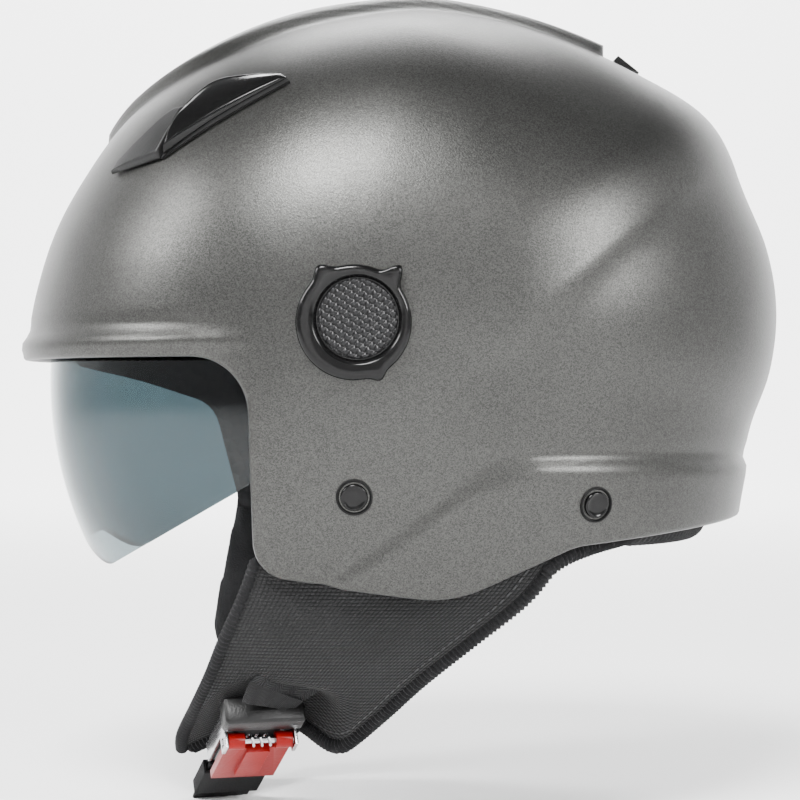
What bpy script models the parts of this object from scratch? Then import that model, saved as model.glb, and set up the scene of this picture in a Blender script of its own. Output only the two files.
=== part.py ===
"""Open-face scooter helmet: moulded shell, foam liner, pads, geared drop-down sun visor,
front air intakes, riveted chin strap and micrometric buckle.

Metres, +Z up. The front faces -X and the wearer's left is -Y. The origin lies on the axis of
the two side knobs, in the helmet's mid-plane.
"""
import math

import bmesh
import bpy
from mathutils import Matrix, Vector

# ---- shell: every surface follows one outline and one half width ----
SHELL_HALF_WIDTH = 0.118
SHELL_WALL = 0.0032
ROUND_ALONG = 2.4    # exponent of the section along the mid-plane, 2 is an ellipse
ROUND_ACROSS = 2.0   # exponent of the section across it
OUTLINE = [          # mid-plane outline of the shell, beside the crown band, (x, z)
    (0.1569, 0.0080), (0.1535, 0.0300), (0.1455, 0.0500), (0.1311, 0.0785),
    (0.1040, 0.0970), (0.0783, 0.1090), (0.0500, 0.1175), (0.0236, 0.1215),
    (0.0000, 0.1200), (-0.0274, 0.1145), (-0.0498, 0.1055), (-0.0707, 0.0930),
    (-0.0882, 0.0780), (-0.1022, 0.0590), (-0.1136, 0.0384), (-0.1212, 0.0150),
    (-0.1255, -0.0080), (-0.1270, -0.0550), (-0.1130, -0.1200), (-0.0600, -0.1720),
    (0.0150, -0.1880), (0.0950, -0.1600), (0.1350, -0.0950), (0.1415, -0.0620),
    (0.1470, -0.0360), (0.1545, -0.0145),
]
SHELL_SEGMENTS = 44
SHELL_RINGS = 20
LINER_SEGMENTS = 30
LINER_RINGS = 14
LOW_SEGMENTS = 10
MEDIUM_SEGMENTS = 16
ROUND_SEGMENTS = 24
MERGE = 0.000005
SHARP_ANGLE = math.radians(35.0)

# ---- side cut of the shell: brow, face opening and lower rim, (x, z, corner radius) ----
SIDE_REACH = 0.30
SHELL_CUT = [
    (-SIDE_REACH, -0.0085, 0.0), (-0.0345, -0.0095, 0.021), (-0.0325, -0.0835, 0.011),
    (0.0320, -0.0920, 0.040), (0.0740, -0.0735, 0.025), (0.1400, -0.0665, 0.0),
    (SIDE_REACH, -0.0620, 0.0), (SIDE_REACH, -0.40, 0.0), (-SIDE_REACH, -0.40, 0.0),
]

# ---- crown band, a raised leaf over the top that ends in a step at the rear ----
BAND_RAISE = 0.0040
BAND_FRONT_ANGLE = math.radians(143.0)
BAND_REAR_ANGLE = math.radians(48.5)
BAND_WIDE_ANGLE = math.radians(112.0)
BAND_FRONT_HALF = 0.042
BAND_REAR_HALF = 0.022
BAND_FLANK = 0.008
BAND_STEP_TOP = math.radians(0.2)
BAND_STEP_FOOT = math.radians(1.2)

# ---- foam liner and pads, as insets from the shell's outer surface ----
LINER_GAP = 0.0018
LINER_INSET = 0.031
LINER_CUT = [
    (-SIDE_REACH, -0.0030, 0.0), (-0.1100, -0.0030, 0.0), (-0.0985, -0.0135, 0.0),
    (-0.0735, -0.0190, 0.020), (-0.0480, -0.0270, 0.012), (-0.0405, -0.0560, 0.0),
    (-0.0400, -0.0620, 0.0), (0.0850, -0.0620, 0.0), (SIDE_REACH, -0.0560, 0.0),
    (SIDE_REACH, -0.40, 0.0), (-SIDE_REACH, -0.40, 0.0),
]
PAD_GAP = 0.0008
CROWN_PAD_THICK = 0.0080
CROWN_PAD_CUT = [
    (-SIDE_REACH, 0.0050, 0.0), (SIDE_REACH, -0.0250, 0.0),
    (SIDE_REACH, -0.40, 0.0), (-SIDE_REACH, -0.40, 0.0),
]
CHEEK_PAD_INSET = 0.0345
CHEEK_PAD_THICK = 0.0180

# ---- sun visor: turned about its hinge, so that it slides inside the shell ----
GEAR_MODULE = 0.0015
KNOB_TEETH = 13
VISOR_TEETH = 30
GEAR_ADDENDUM = 0.8
GEAR_DEDENDUM = 1.15
GEAR_BACKLASH = 0.00035
GEAR_PRESSURE = math.radians(20.0)
HINGE_DIRECTION = math.radians(-33.9)
VISOR_TRAVEL = math.radians(33.0)
VISOR_REACH = 0.1426
VISOR_HALF_WIDTH = 0.1062
VISOR_ROUND = 2.4
VISOR_WALL = 0.0022
VISOR_TOP = math.radians(12.0)
VISOR_BOTTOM = math.radians(-30.0)
VISOR_NOSE_RISE = math.radians(5.5)
VISOR_NOSE_HALF = 0.034
VISOR_CLEARANCE = 0.0014
VISOR_SLOT_MARGIN = math.radians(6.0)
VISOR_EYE_RADIUS = 0.0120
VISOR_ARM_REACH = 0.055
VISOR_SHEET_ROWS = 9
VISOR_COLUMNS = 8
FIT = 0.0003         # clearance between touching pieces
RUN = 0.0004         # clearance of pieces that turn or slide

# ---- visor hinge stack, from the inside out ----
BASE_PLATE_THICK = 0.0024
BASE_PLATE_RADIUS = 0.018
HINGE_BOSS_RADIUS = 0.0042
GEAR_THICK = 0.0028
HINGE_SCREW_HEAD_RADIUS = 0.0062
HINGE_SCREW_HEAD = 0.0016
HINGE_SCREW_RADIUS = 0.0015
HINGE_SCREW_LENGTH = 0.0060
GEAR_POCKET_RADIUS = 0.047

# ---- side knobs ----
KNOB_RADIUS = 0.0191
KNOB_HEIGHT = 0.0070
KNOB_POINTS = 44
KNOB_EARS = [(math.radians(122.0), 0.0018), (math.radians(50.0), 0.0042), (math.radians(-65.0), 0.0012)]
KNOB_EAR_SPREAD = math.radians(9.0)
KNOB_LIFT = 0.0005
KNOB_EDGE = 0.0009
INSERT_RADIUS = 0.0131
INSERT_THICK = 0.0024
INSERT_SHIFT = (0.0013, 0.0012)
KNOB_POCKET = 0.0048
SHAFT_RADIUS = 0.0048
KNOB_SCREW_RADIUS = 0.0013
KNOB_SCREW_HEAD_RADIUS = 0.0028
KNOB_SCREW_HEAD = 0.0014
KNOB_SCREW_LENGTH = 0.0070

# ---- front air intakes, on the shell's side, (x, z) ----
BLADE_LOW = [(-0.0651, 0.0583), (-0.0479, 0.0704), (-0.0234, 0.0843)]
BLADE_HIGH = [(-0.0571, 0.0755), (-0.0472, 0.0852), (-0.0253, 0.0859)]
WEDGE_LOW = [(-0.0853, 0.0535), (-0.0758, 0.0552), (-0.0668, 0.0572)]
WEDGE_HIGH = [(-0.0846, 0.0549), (-0.0645, 0.0736), (-0.0584, 0.0750)]
VENT_TRIM = 0.0014
VENT_BASE_THICK = 0.0009
BLADE_RISE = 0.0042
BLADE_TIP_RISE = 0.0010
WEDGE_LIFT = 0.0009
WEDGE_RISE = 0.0030
WEDGE_TIP_RISE = 0.0016
INTAKE_POINT = (-0.0655, 0.0655)
INTAKE_SIZE = (0.0080, 0.0060)
EXHAUST_HALF_WIDTH = 0.0185
EXHAUST_SPAN = math.radians(4.0)
EXHAUST_RISE = 0.0026

# ---- chin strap, its rivets and anchor plates ----
RIVETS = {"front": (0.0000, -0.0578), "rear": (0.0804, -0.0605)}
RIVET_RECESS_RADIUS = 0.0058
RIVET_RECESS = 0.0009
RIVET_CAP_RADIUS = 0.0046
RIVET_CAP = 0.0016
RIVET_SHANK_RADIUS = 0.0022
RIVET_TAIL = 0.0010
RIVET_TAIL_RADIUS = 0.0040
ANCHOR_PLATE = (0.014, 0.014, 0.0012)
ANCHOR_GAP = 0.0012
STRAP_WIDTH = 0.021
STRAP_THICK = 0.0015
STRAP_INSET = 0.0155
FRONT_GUIDES = [(-0.0020, -0.0790, 0.0), (-0.0080, -0.1100, 0.0), (-0.0180, -0.1180, -0.0015)]
REAR_GUIDES = [(0.0600, -0.0735, 0.0010), (0.0320, -0.0890, 0.0032), (-0.0050, -0.1030, 0.0036)]
REAR_STRAP_LEAN = (-0.85, 0.0, -0.52)
CHIN_GUIDES = [      # (place, outward) under the chin, on the right
    ((-0.0345, 0.0715, -0.1380), (0.0, 0.85, -0.53)), ((-0.0420, 0.0580, -0.1530), (0.0, 0.60, -0.80)),
    ((-0.0480, 0.0330, -0.1650), (0.0, 0.35, -0.94)), ((-0.0505, 0.0120, -0.1720), (0.0, 0.05, -1.00)),
]
STRAP_SLOT_TILT = 0.6
STRAP_OVERHANG = 0.0085
STRAP_STRAIGHT = 0.0020
STRAP_SLOT_LEAD = 0.0060
STRAP_BUTT_GAP = 0.0024

# ---- side flaps and cheek pads: rows from top to bottom, (z, front x, rear x) ----
FLAP_ROWS = [
    (-0.0770, -0.0325, 0.0690), (-0.0850, -0.0350, 0.0640), (-0.0940, -0.0385, 0.0560),
    (-0.1080, -0.0450, 0.0385), (-0.1220, -0.0510, 0.0220), (-0.1360, -0.0580, 0.0080),
    (-0.1480, -0.0640, -0.0050), (-0.1555, -0.0650, -0.0170),
]
FLAP_INSET = 0.0042
FLAP_THICK = 0.0070
EDGE_SHARE = 0.35    # thickness of a panel's edge as a share of its middle
EDGE_POWER = 6.0
FLAP_TURN_TOP = -0.095
FLAP_TURN_BOTTOM = -0.150
FLAP_TURN = 0.0125
FLAP_SLOT = (-0.0215, -0.1265)
FLAP_SLOT_SIZE = (0.0400, 0.0280)
CHEEK_ROWS = [
    (-0.0240, -0.0380, 0.0400), (-0.0420, -0.0420, 0.0430), (-0.0620, -0.0440, 0.0420),
    (-0.0860, -0.0490, 0.0330), (-0.1130, -0.0540, 0.0100),
]
NECK_ROLL_HEIGHT = -0.0700
NECK_ROLL_FRONT = 0.0900
NECK_ROLL_INSET = 0.0180
NECK_ROLL_RADIUS = 0.0070
NECK_ROLL_STEPS = 16
NECK_ROLL_SIDES = 8

# ---- buckle: its own axes are x across, y along the strap, z away from the chin ----
BUCKLE_CENTRE = Vector((-0.0375, -0.0520, -0.1445))
BUCKLE_YAW = math.radians(17.0)
BUCKLE_PITCH = math.radians(30.0)
BUCKLE_WIDTH = 0.0265
BUCKLE_WALL = 0.0012
CHANNEL_START = -0.0130
CHANNEL_END = 0.0180
CHANNEL_FLOOR = -0.0035
CHANNEL_TOP = 0.0032
EAR_HALF_LENGTH = 0.0034
COVER_LENGTH = 0.0090
COVER_WIDTH = 0.0290
COVER_DEPTH = 0.0100
COVER_EDGE = 0.0012
TONGUE_WIDTH = 0.0170
TONGUE_FLOOR = -0.0014
TONGUE_TOP = 0.0012
TONGUE_START = -0.0120
TONGUE_END = 0.0280
TOOTH_PITCH = 0.0022
TOOTH_HEIGHT = 0.0010
TOOTH_COUNT = 12
TOOTH_LEAN = 0.8
LEVER_PIN_Y = -0.0080
LEVER_PIN_Z = 0.0062
LEVER_PIN_RADIUS = 0.0012
LEVER_PIN_FIT = 0.0001
LEVER_HUB_RADIUS = 0.0030
LEVER_END = 0.0235
LEVER_THICK = 0.0030
LEVER_RIB_WIDTH = 0.0085
LEVER_RIB_RISE = 0.0016
LEVER_TAB_LENGTH = 0.0055
SPRING_BAY = 0.0057
PAWL_WIDTH = 0.0100
PAWL_START = -0.0035
PAWL_LENGTH = 0.0040
SPRING_WIRE = 0.00045
SPRING_RADIUS = 0.0022
SPRING_TURNS = 3
SPRING_STEPS = 8
SPRING_SPREAD = 0.8
TAIL_END = 0.0420
SLEEVE_START = 0.0310
SLEEVE_END = 0.0520
SLEEVE_WALL = 0.0012
SLEEVE_ROOM = 0.0016

MATERIALS = {        # base colour, metallic, roughness
    "shell_paint": ((0.115, 0.115, 0.108), 0.75, 0.42),
    "foam": ((0.030, 0.030, 0.032), 0.0, 0.90),
    "gloss_black": ((0.010, 0.010, 0.011), 0.0, 0.18),
    "satin_black": ((0.022, 0.022, 0.023), 0.0, 0.55),
    "smoke_visor": ((0.060, 0.095, 0.110), 0.0, 0.05),
    "lining": ((0.014, 0.014, 0.015), 0.0, 0.95),
    "flap_fabric": ((0.030, 0.030, 0.031), 0.0, 0.85),
    "ribbed_fabric": ((0.090, 0.090, 0.092), 0.0, 0.90),
    "webbing": ((0.012, 0.012, 0.013), 0.0, 0.80),
    "steel": ((0.560, 0.560, 0.570), 1.0, 0.28),
    "lever_red": ((0.580, 0.030, 0.012), 0.0, 0.35),
    "nylon": ((0.035, 0.035, 0.037), 0.0, 0.50),
}
SIDES = {"left": -1.0, "right": 1.0}


# ------------------------------------------------------------------ scene helpers
def clear_scene():
    """Removes whatever objects the scene starts with."""
    for item in list(bpy.data.objects):
        bpy.data.objects.remove(item, do_unlink=True)


def material(name):
    """The Principled material of one kind of surface."""
    found = bpy.data.materials.get(name)
    if found:
        return found
    colour, metallic, roughness = MATERIALS[name]
    made = bpy.data.materials.new(name)
    made.use_nodes = True
    principled = made.node_tree.nodes["Principled BSDF"]
    principled.inputs["Base Color"].default_value = (*colour, 1.0)
    principled.inputs["Metallic"].default_value = metallic
    principled.inputs["Roughness"].default_value = roughness
    made.diffuse_color = (*colour, 1.0)
    return made


def add_object(name, mesh_builder, surface, smooth=True, matrix=None):
    """Turns a bmesh into a named object whose faces point outwards."""
    bmesh.ops.remove_doubles(mesh_builder, verts=mesh_builder.verts, dist=MERGE)
    bmesh.ops.recalc_face_normals(mesh_builder, faces=mesh_builder.faces)
    mesh = bpy.data.meshes.new(name)
    mesh_builder.to_mesh(mesh)
    mesh_builder.free()
    if smooth:
        mesh.shade_smooth()
        mesh.set_sharp_from_angle(angle=SHARP_ANGLE)
    item = bpy.data.objects.new(name, mesh)
    bpy.context.scene.collection.objects.link(item)
    if matrix is not None:
        item.matrix_world = matrix
    if surface:
        mesh.materials.append(material(surface))
    return item


def add_cutter(name, mesh_builder, matrix=None):
    """A hidden solid that a Boolean uses."""
    item = add_object(name, mesh_builder, None, smooth=False, matrix=matrix)
    item.hide_render = True
    item.display_type = "WIRE"
    return item


def boolean(target, tool, operation="DIFFERENCE"):
    """Cuts the tool out of the target, or joins it to the target."""
    step = target.modifiers.new(tool.name, "BOOLEAN")
    step.operation = operation
    step.solver = "EXACT"
    step.object = tool


# ------------------------------------------------------------------ small mathematics
def blend(low, high, share):
    """The value that lies the given share of the way from low to high."""
    return low + (high - low) * share


def ease(start, end, value):
    """0 before start, 1 after end, with a smooth rise between."""
    share = min(1.0, max(0.0, (value - start) / (end - start)))
    return share * share * (3.0 - 2.0 * share)


def along(points, share):
    """The point at a share of the way along a short list of points."""
    place = share * (len(points) - 1)
    index = min(int(place), len(points) - 2)
    rest = place - index
    return tuple(blend(a, b, rest) for a, b in zip(points[index], points[index + 1]))


def row_at(rows, z):
    """Front and rear x of an outline given as rows, at height z."""
    for upper, lower in zip(rows, rows[1:]):
        if z >= lower[0]:
            share = (upper[0] - z) / (upper[0] - lower[0])
            return blend(upper[1], lower[1], share), blend(upper[2], lower[2], share)
    return rows[-1][1], rows[-1][2]


def round_corners(outline, steps=5):
    """An outline of (x, z, radius) with each corner turned into an arc."""
    points = []
    count = len(outline)
    for index, (x, z, radius) in enumerate(outline):
        corner = Vector((x, z))
        if radius == 0.0:
            points.append(corner)
            continue
        before = (Vector(outline[index - 1][:2]) - corner).normalized()
        after = (Vector(outline[(index + 1) % count][:2]) - corner).normalized()
        half = before.angle(after) / 2.0
        reach = radius / math.tan(half)
        centre = corner + (before + after).normalized() * radius / math.sin(half)
        first = corner + before * reach - centre
        turn = first.angle_signed(corner + after * reach - centre)
        for step in range(steps + 1):
            spoke = first.copy()
            spoke.rotate(Matrix.Rotation(-turn * step / steps, 2))
            points.append(centre + spoke)
    return points


# ------------------------------------------------------------------ the shell's surface
def outline_knots():
    """The outline as (angle, radius) about the knob axis, in rising angle."""
    return sorted((math.atan2(z, x) % math.tau, math.hypot(x, z)) for x, z in OUTLINE)


KNOTS = outline_knots()


def outline_radius(angle):
    """Distance from the knob axis to the outline, by a smooth closed curve."""
    angle %= math.tau
    count = len(KNOTS)
    index = sum(1 for knot in KNOTS if knot[0] <= angle) - 1
    near = []
    for offset in (-1, 0, 1, 2):
        turn, place = divmod(index + offset, count)
        near.append((KNOTS[place][0] + turn * math.tau, KNOTS[place][1]))
    (a0, r0), (a1, r1), (a2, r2), (a3, r3) = near
    span = a2 - a1
    share = (angle - a1) / span
    slope_in = (r2 - r0) / (a2 - a0) * span
    slope_out = (r3 - r1) / (a3 - a1) * span
    square, cube = share ** 2, share ** 3
    return ((2 * cube - 3 * square + 1) * r1 + (cube - 2 * square + share) * slope_in
            + (3 * square - 2 * cube) * r2 + (cube - square) * slope_out)


def dome_point(angle, share, side, inset):
    """A point of the shell's surface moved inwards by inset; share is 0 at the side's pole."""
    radius = share * (outline_radius(angle) - inset)
    across = (1.0 - min(1.0, share) ** ROUND_ALONG) ** (1.0 / ROUND_ACROSS)
    return Vector((radius * math.cos(angle), side * (SHELL_HALF_WIDTH - inset) * across,
                   radius * math.sin(angle)))


def dome_half_width(x, z, inset):
    """How far out the surface lies at a place in the side view."""
    share = math.hypot(x, z) / (outline_radius(math.atan2(z, x)) - inset)
    across = max(0.0, 1.0 - share ** ROUND_ALONG) ** (1.0 / ROUND_ACROSS)
    return (SHELL_HALF_WIDTH - inset) * across


def side_point(x, z, side, inset):
    """A point on the surface, named by its place in the side view."""
    return Vector((x, side * dome_half_width(x, z, inset), z))


def side_normal(x, z, side):
    """The outward direction of the surface at a place in the side view."""
    step = 0.001
    here = side_point(x, z, side, 0.0)
    back = side_point(x + step, z, side, 0.0) - here
    up = side_point(x, z + step, side, 0.0) - here
    return (up.cross(back) * side).normalized()


def band_half_width(angle):
    """Half width of the crown band, a leaf that is pointed at the brow."""
    wide = blend(BAND_REAR_HALF, BAND_FRONT_HALF, ease(BAND_REAR_ANGLE, BAND_WIDE_ANGLE, angle))
    return wide * math.sqrt(ease(BAND_FRONT_ANGLE, BAND_WIDE_ANGLE, angle))


def band_lift(angle, y):
    """How far the crown band stands above the surface beside it."""
    if not BAND_REAR_ANGLE < angle < BAND_FRONT_ANGLE:
        return 0.0
    half = band_half_width(angle)
    return BAND_RAISE * ease(half + BAND_FLANK / 2.0, half - BAND_FLANK / 2.0, abs(y))


def dome_angles(segments):
    """Angles around the dome, two of them moved to the crown band's rear step."""
    angles = [math.tau * k / segments for k in range(segments)]
    above = min(k for k, angle in enumerate(angles) if angle > BAND_REAR_ANGLE)
    angles[above] = BAND_REAR_ANGLE + BAND_STEP_TOP
    angles[above - 1] = BAND_REAR_ANGLE - BAND_STEP_FOOT
    return angles


def add_dome(builder, inset, segments, rings, raised=False):
    """A closed dome: rings of points from the left pole to the right pole."""
    circles = []
    for ring in range(1, rings):
        polar = math.pi * ring / rings
        side = -1.0 if polar < math.pi / 2.0 else 1.0
        circle = []
        for angle in dome_angles(segments):
            point = dome_point(angle, math.sin(polar), side, inset)
            if raised:
                lift = band_lift(angle, point.y)
                point += Vector((math.cos(angle), 0.0, math.sin(angle))) * lift
            circle.append(builder.verts.new(point))
        circles.append(circle)
    for circle, following in zip(circles, circles[1:]):
        for index in range(segments):
            after = (index + 1) % segments
            builder.faces.new((circle[index], circle[after], following[after], following[index]))
    for side, circle in ((-1.0, circles[0]), (1.0, circles[-1])):
        pole = builder.verts.new((0.0, side * (SHELL_HALF_WIDTH - inset), 0.0))
        for index in range(segments):
            builder.faces.new((circle[index], circle[(index + 1) % segments], pole))


def dome(name, inset, segments, rings, surface, raised=False):
    """A closed dome as an object, or as a cutter where surface is None."""
    builder = bmesh.new()
    add_dome(builder, inset, segments, rings, raised)
    if surface:
        return add_object(name, builder, surface)
    return add_cutter(name, builder)


def prism(points, low, high, axis_matrix=None):
    """A bmesh prism over an outline in (x, z), from y = low to y = high."""
    builder = bmesh.new()
    bottom = [builder.verts.new((x, low, z)) for x, z in points]
    top = [builder.verts.new((x, high, z)) for x, z in points]
    builder.faces.new(bottom)
    builder.faces.new(top)
    for index in range(len(points)):
        after = (index + 1) % len(points)
        builder.faces.new((bottom[index], bottom[after], top[after], top[index]))
    if axis_matrix is not None:
        builder.transform(axis_matrix)
    return builder


def lathe(profile, segments):
    """A bmesh turned about the y axis from a profile of (radius, y)."""
    builder = bmesh.new()
    rings = []
    for radius, y in profile:
        if radius == 0.0:
            rings.append([builder.verts.new((0.0, y, 0.0))])
            continue
        rings.append([builder.verts.new((radius * math.cos(math.tau * k / segments), y,
                                         radius * math.sin(math.tau * k / segments)))
                      for k in range(segments)])
    for ring, following in zip(rings, rings[1:]):
        for index in range(segments):
            after = (index + 1) % segments
            corners = [ring[index % len(ring)], ring[after % len(ring)],
                       following[after % len(following)], following[index % len(following)]]
            corners = list(dict.fromkeys(corners))
            builder.faces.new(corners)
    return builder


def grid_solid(outer, inner):
    """A closed bmesh between two equal grids of points."""
    builder = bmesh.new()
    layers = [[[builder.verts.new(p) for p in row] for row in grid] for grid in (outer, inner)]
    rows, columns = len(outer), len(outer[0])
    for layer in layers:
        for i in range(rows - 1):
            for j in range(columns - 1):
                builder.faces.new((layer[i][j], layer[i][j + 1],
                                   layer[i + 1][j + 1], layer[i + 1][j]))
    rim = [(0, j) for j in range(columns)] + [(i, columns - 1) for i in range(1, rows)]
    rim += [(rows - 1, j) for j in range(columns - 2, -1, -1)] + [(i, 0) for i in range(rows - 2, 0, -1)]
    for (i, j), (k, l) in zip(rim, rim[1:] + rim[:1]):
        builder.faces.new((layers[0][i][j], layers[0][k][l], layers[1][k][l], layers[1][i][j]))
    return builder


def side_patch(low, high, columns, rows, side, height):
    """Outer and inner grids of a patch on the shell's side, between two edge lines."""
    outer, inner = [], []
    for i in range(columns + 1):
        u = i / columns
        start, end = along(low, u), along(high, u)
        outer_row, inner_row = [], []
        for j in range(rows + 1):
            v = j / rows
            x, z = blend(start[0], end[0], v), blend(start[1], end[1], v)
            top, bottom = height(u, v)
            normal = side_normal(x, z, side)
            base = side_point(x, z, side, 0.0)
            outer_row.append(base + normal * top)
            inner_row.append(base + normal * bottom)
        outer.append(outer_row)
        inner.append(inner_row)
    return outer, inner


# ------------------------------------------------------------------ places that pieces share
HINGE_REACH = GEAR_MODULE * (KNOB_TEETH + VISOR_TEETH) / 2.0
HINGE = Vector((HINGE_REACH * math.cos(HINGE_DIRECTION), 0.0, HINGE_REACH * math.sin(HINGE_DIRECTION)))
ARM_INNER = VISOR_HALF_WIDTH - VISOR_WALL
BASE_PLATE_TOP = ARM_INNER - RUN
BASE_PLATE_FLOOR = BASE_PLATE_TOP - BASE_PLATE_THICK
VISOR_GEAR_FLOOR = VISOR_HALF_WIDTH + FIT
VISOR_GEAR_TOP = VISOR_GEAR_FLOOR + GEAR_THICK
HINGE_BOSS_TOP = VISOR_GEAR_TOP + FIT
PINION_FLOOR = VISOR_HALF_WIDTH + RUN
PINION_TOP = PINION_FLOOR + GEAR_THICK
SHAFT_TOP = SHELL_HALF_WIDTH + KNOB_LIFT - FIT
KNOB_FLOOR = SHELL_HALF_WIDTH + KNOB_LIFT
KNOB_TOP = KNOB_FLOOR + KNOB_HEIGHT
KNOB_POCKET_FLOOR = KNOB_TOP - KNOB_POCKET
ANCHOR_TOP = -(SHELL_WALL + ANCHOR_GAP)
ANCHOR_FLOOR = ANCHOR_TOP - ANCHOR_PLATE[2]
STRAP_AT_RIVET = ANCHOR_FLOOR - FIT - STRAP_THICK / 2.0
RIVET_TAIL_TOP = STRAP_AT_RIVET - STRAP_THICK / 2.0 - FIT


def mirrored(side):
    """The matrix that puts a piece made for the right side on the given side."""
    return Matrix.Diagonal((1.0, side, 1.0, 1.0))


def side_object(name, builder, side, surface, offset=Vector((0.0, 0.0, 0.0))):
    """Places a piece modelled about the y axis on one side, with its origin on its axis."""
    builder.transform(mirrored(side))
    return add_object(name, builder, surface, matrix=Matrix.Translation(offset))


def side_cutter(name, builder, side, offset=Vector((0.0, 0.0, 0.0))):
    """The same for a cutter."""
    builder.transform(mirrored(side))
    return add_cutter(name, builder, matrix=Matrix.Translation(offset))


def surface_frame(x, z, side):
    """A frame on the shell: its y axis points outwards and its z axis runs up the surface."""
    outward = side_normal(x, z, side)
    across = outward.cross(Vector((0.0, 0.0, 1.0))).normalized()
    upward = across.cross(outward)
    frame = Matrix((across, outward, upward)).transposed().to_4x4()
    frame.translation = side_point(x, z, side, 0.0)
    return frame


def box(low, high):
    """A bmesh block between two corners."""
    (x0, y0, z0), (x1, y1, z1) = low, high
    return prism([(x0, z0), (x1, z0), (x1, z1), (x0, z1)], y0, y1)


def cylinder(radius, low, high, segments=MEDIUM_SEGMENTS):
    """A bmesh cylinder about the y axis."""
    return lathe([(0.0, low), (radius, low), (radius, high), (0.0, high)], segments)


# ------------------------------------------------------------------ shell and liner
def make_shell():
    """The moulded outer shell with its rim, shaft holes, rivet seats and air intakes."""
    shell = dome("outer_shell", 0.0, SHELL_SEGMENTS, SHELL_RINGS, "shell_paint", raised=True)
    boolean(shell, dome("cut_shell_inside", SHELL_WALL, SHELL_SEGMENTS, SHELL_RINGS, None))
    rim = prism(round_corners(SHELL_CUT), -SIDE_REACH, SIDE_REACH)
    boolean(shell, add_cutter("cut_shell_rim", rim))
    for label, side in SIDES.items():
        shaft = cylinder(SHAFT_RADIUS + RUN, SHELL_HALF_WIDTH - 3 * SHELL_WALL, SHELL_HALF_WIDTH + SHELL_WALL)
        boolean(shell, side_cutter(f"cut_shaft_hole_{label}", shaft, side))
        for place, (x, z) in RIVETS.items():
            frame = surface_frame(x, z, side)
            hole = lathe([(0.0, -3 * SHELL_WALL), (RIVET_SHANK_RADIUS + FIT, -3 * SHELL_WALL),
                          (RIVET_SHANK_RADIUS + FIT, -RIVET_RECESS), (RIVET_RECESS_RADIUS, -RIVET_RECESS),
                          (RIVET_RECESS_RADIUS, SHELL_WALL), (0.0, SHELL_WALL)], MEDIUM_SEGMENTS)
            boolean(shell, add_cutter(f"cut_rivet_{place}_{label}", hole, matrix=frame))
        slot = box((-INTAKE_SIZE[0], -3 * SHELL_WALL, -INTAKE_SIZE[1]),
                   (INTAKE_SIZE[0], SHELL_WALL, INTAKE_SIZE[1]))
        frame = surface_frame(*INTAKE_POINT, side)
        boolean(shell, add_cutter(f"cut_intake_{label}", slot, matrix=frame))


def visor_profile(turn, inset):
    """Reach from the hinge and half width of the visor's section, moved inwards by inset."""
    power = 2.0 / VISOR_ROUND
    return ((VISOR_REACH - inset) * max(0.0, math.cos(turn)) ** power,
            (VISOR_HALF_WIDTH - inset) * max(0.0, math.sin(turn)) ** power)


def at_hinge(reach, elevation):
    """A place in the side view, reach from the hinge, elevation above straight ahead."""
    return Vector((HINGE.x - reach * math.cos(elevation), 0.0, HINGE.z + reach * math.sin(elevation)))


def make_liner():
    """The foam liner, with the slot that the visor slides into and room for the straps."""
    liner = dome("eps_liner", SHELL_WALL + LINER_GAP, LINER_SEGMENTS, LINER_RINGS, "foam")
    boolean(liner, dome("cut_liner_inside", LINER_INSET, LINER_SEGMENTS, LINER_RINGS, None))
    lower = prism(round_corners(LINER_CUT), -SIDE_REACH, SIDE_REACH)
    boolean(liner, add_cutter("cut_liner_rim", lower))
    inset = VISOR_WALL + VISOR_CLEARANCE
    steps = ROUND_SEGMENTS // 2
    quarter = [visor_profile(math.pi / 2.0 * k / steps, inset) for k in range(steps + 1)]
    profile = [(0.0 if k == steps else a, y) for k, (a, y) in enumerate(quarter)]
    whole = [(a, -y) for a, y in reversed(profile[1:])] + profile
    core = add_cutter("cut_visor_core", lathe(whole, ROUND_SEGMENTS), matrix=Matrix.Translation(HINGE))
    low, high = VISOR_BOTTOM - VISOR_SLOT_MARGIN, VISOR_TOP + VISOR_TRAVEL + VISOR_SLOT_MARGIN
    fan = [at_hinge(0.0, 0.0)] + [at_hinge(SIDE_REACH, blend(low, high, k / 4.0)) for k in range(5)]
    slot = add_cutter("cut_visor_slot", prism([(p.x, p.z) for p in fan], -SIDE_REACH, SIDE_REACH))
    boolean(slot, core)
    boolean(liner, slot)
    for label, side in SIDES.items():
        well = cylinder(GEAR_POCKET_RADIUS, BASE_PLATE_FLOOR - FIT, SIDE_REACH, ROUND_SEGMENTS)
        boolean(liner, side_cutter(f"cut_gear_well_{label}", well, side, HINGE))
        for place, (x, z) in RIVETS.items():
            half = STRAP_WIDTH + 3 * RUN
            top = math.hypot(STRAP_WIDTH / 2.0, STRAP_OVERHANG) + RUN
            channel = box((-half, -STRAP_INSET - 2 * STRAP_THICK, -SIDE_REACH / 4.0),
                          (half, SHELL_WALL, top))
            frame = surface_frame(x, z, side)
            boolean(liner, add_cutter(f"cut_strap_channel_{place}_{label}", channel, matrix=frame))


def make_crown_pad():
    """The comfort lining of the crown, a bowl inside the foam."""
    outer = LINER_INSET + PAD_GAP
    pad = dome("crown_pad", outer, LINER_SEGMENTS, LINER_RINGS, "lining")
    inside = dome("cut_crown_pad_inside", outer + CROWN_PAD_THICK, LINER_SEGMENTS, LINER_RINGS, None)
    boolean(pad, inside)
    rim = prism(round_corners(CROWN_PAD_CUT), -SIDE_REACH, SIDE_REACH)
    boolean(pad, add_cutter("cut_crown_pad_rim", rim))


def flap_shift(z):
    """How far the flap has turned in towards the throat at height z."""
    return FLAP_TURN * ease(FLAP_TURN_TOP, FLAP_TURN_BOTTOM, z) if z < FLAP_TURN_TOP else 0.0


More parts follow.
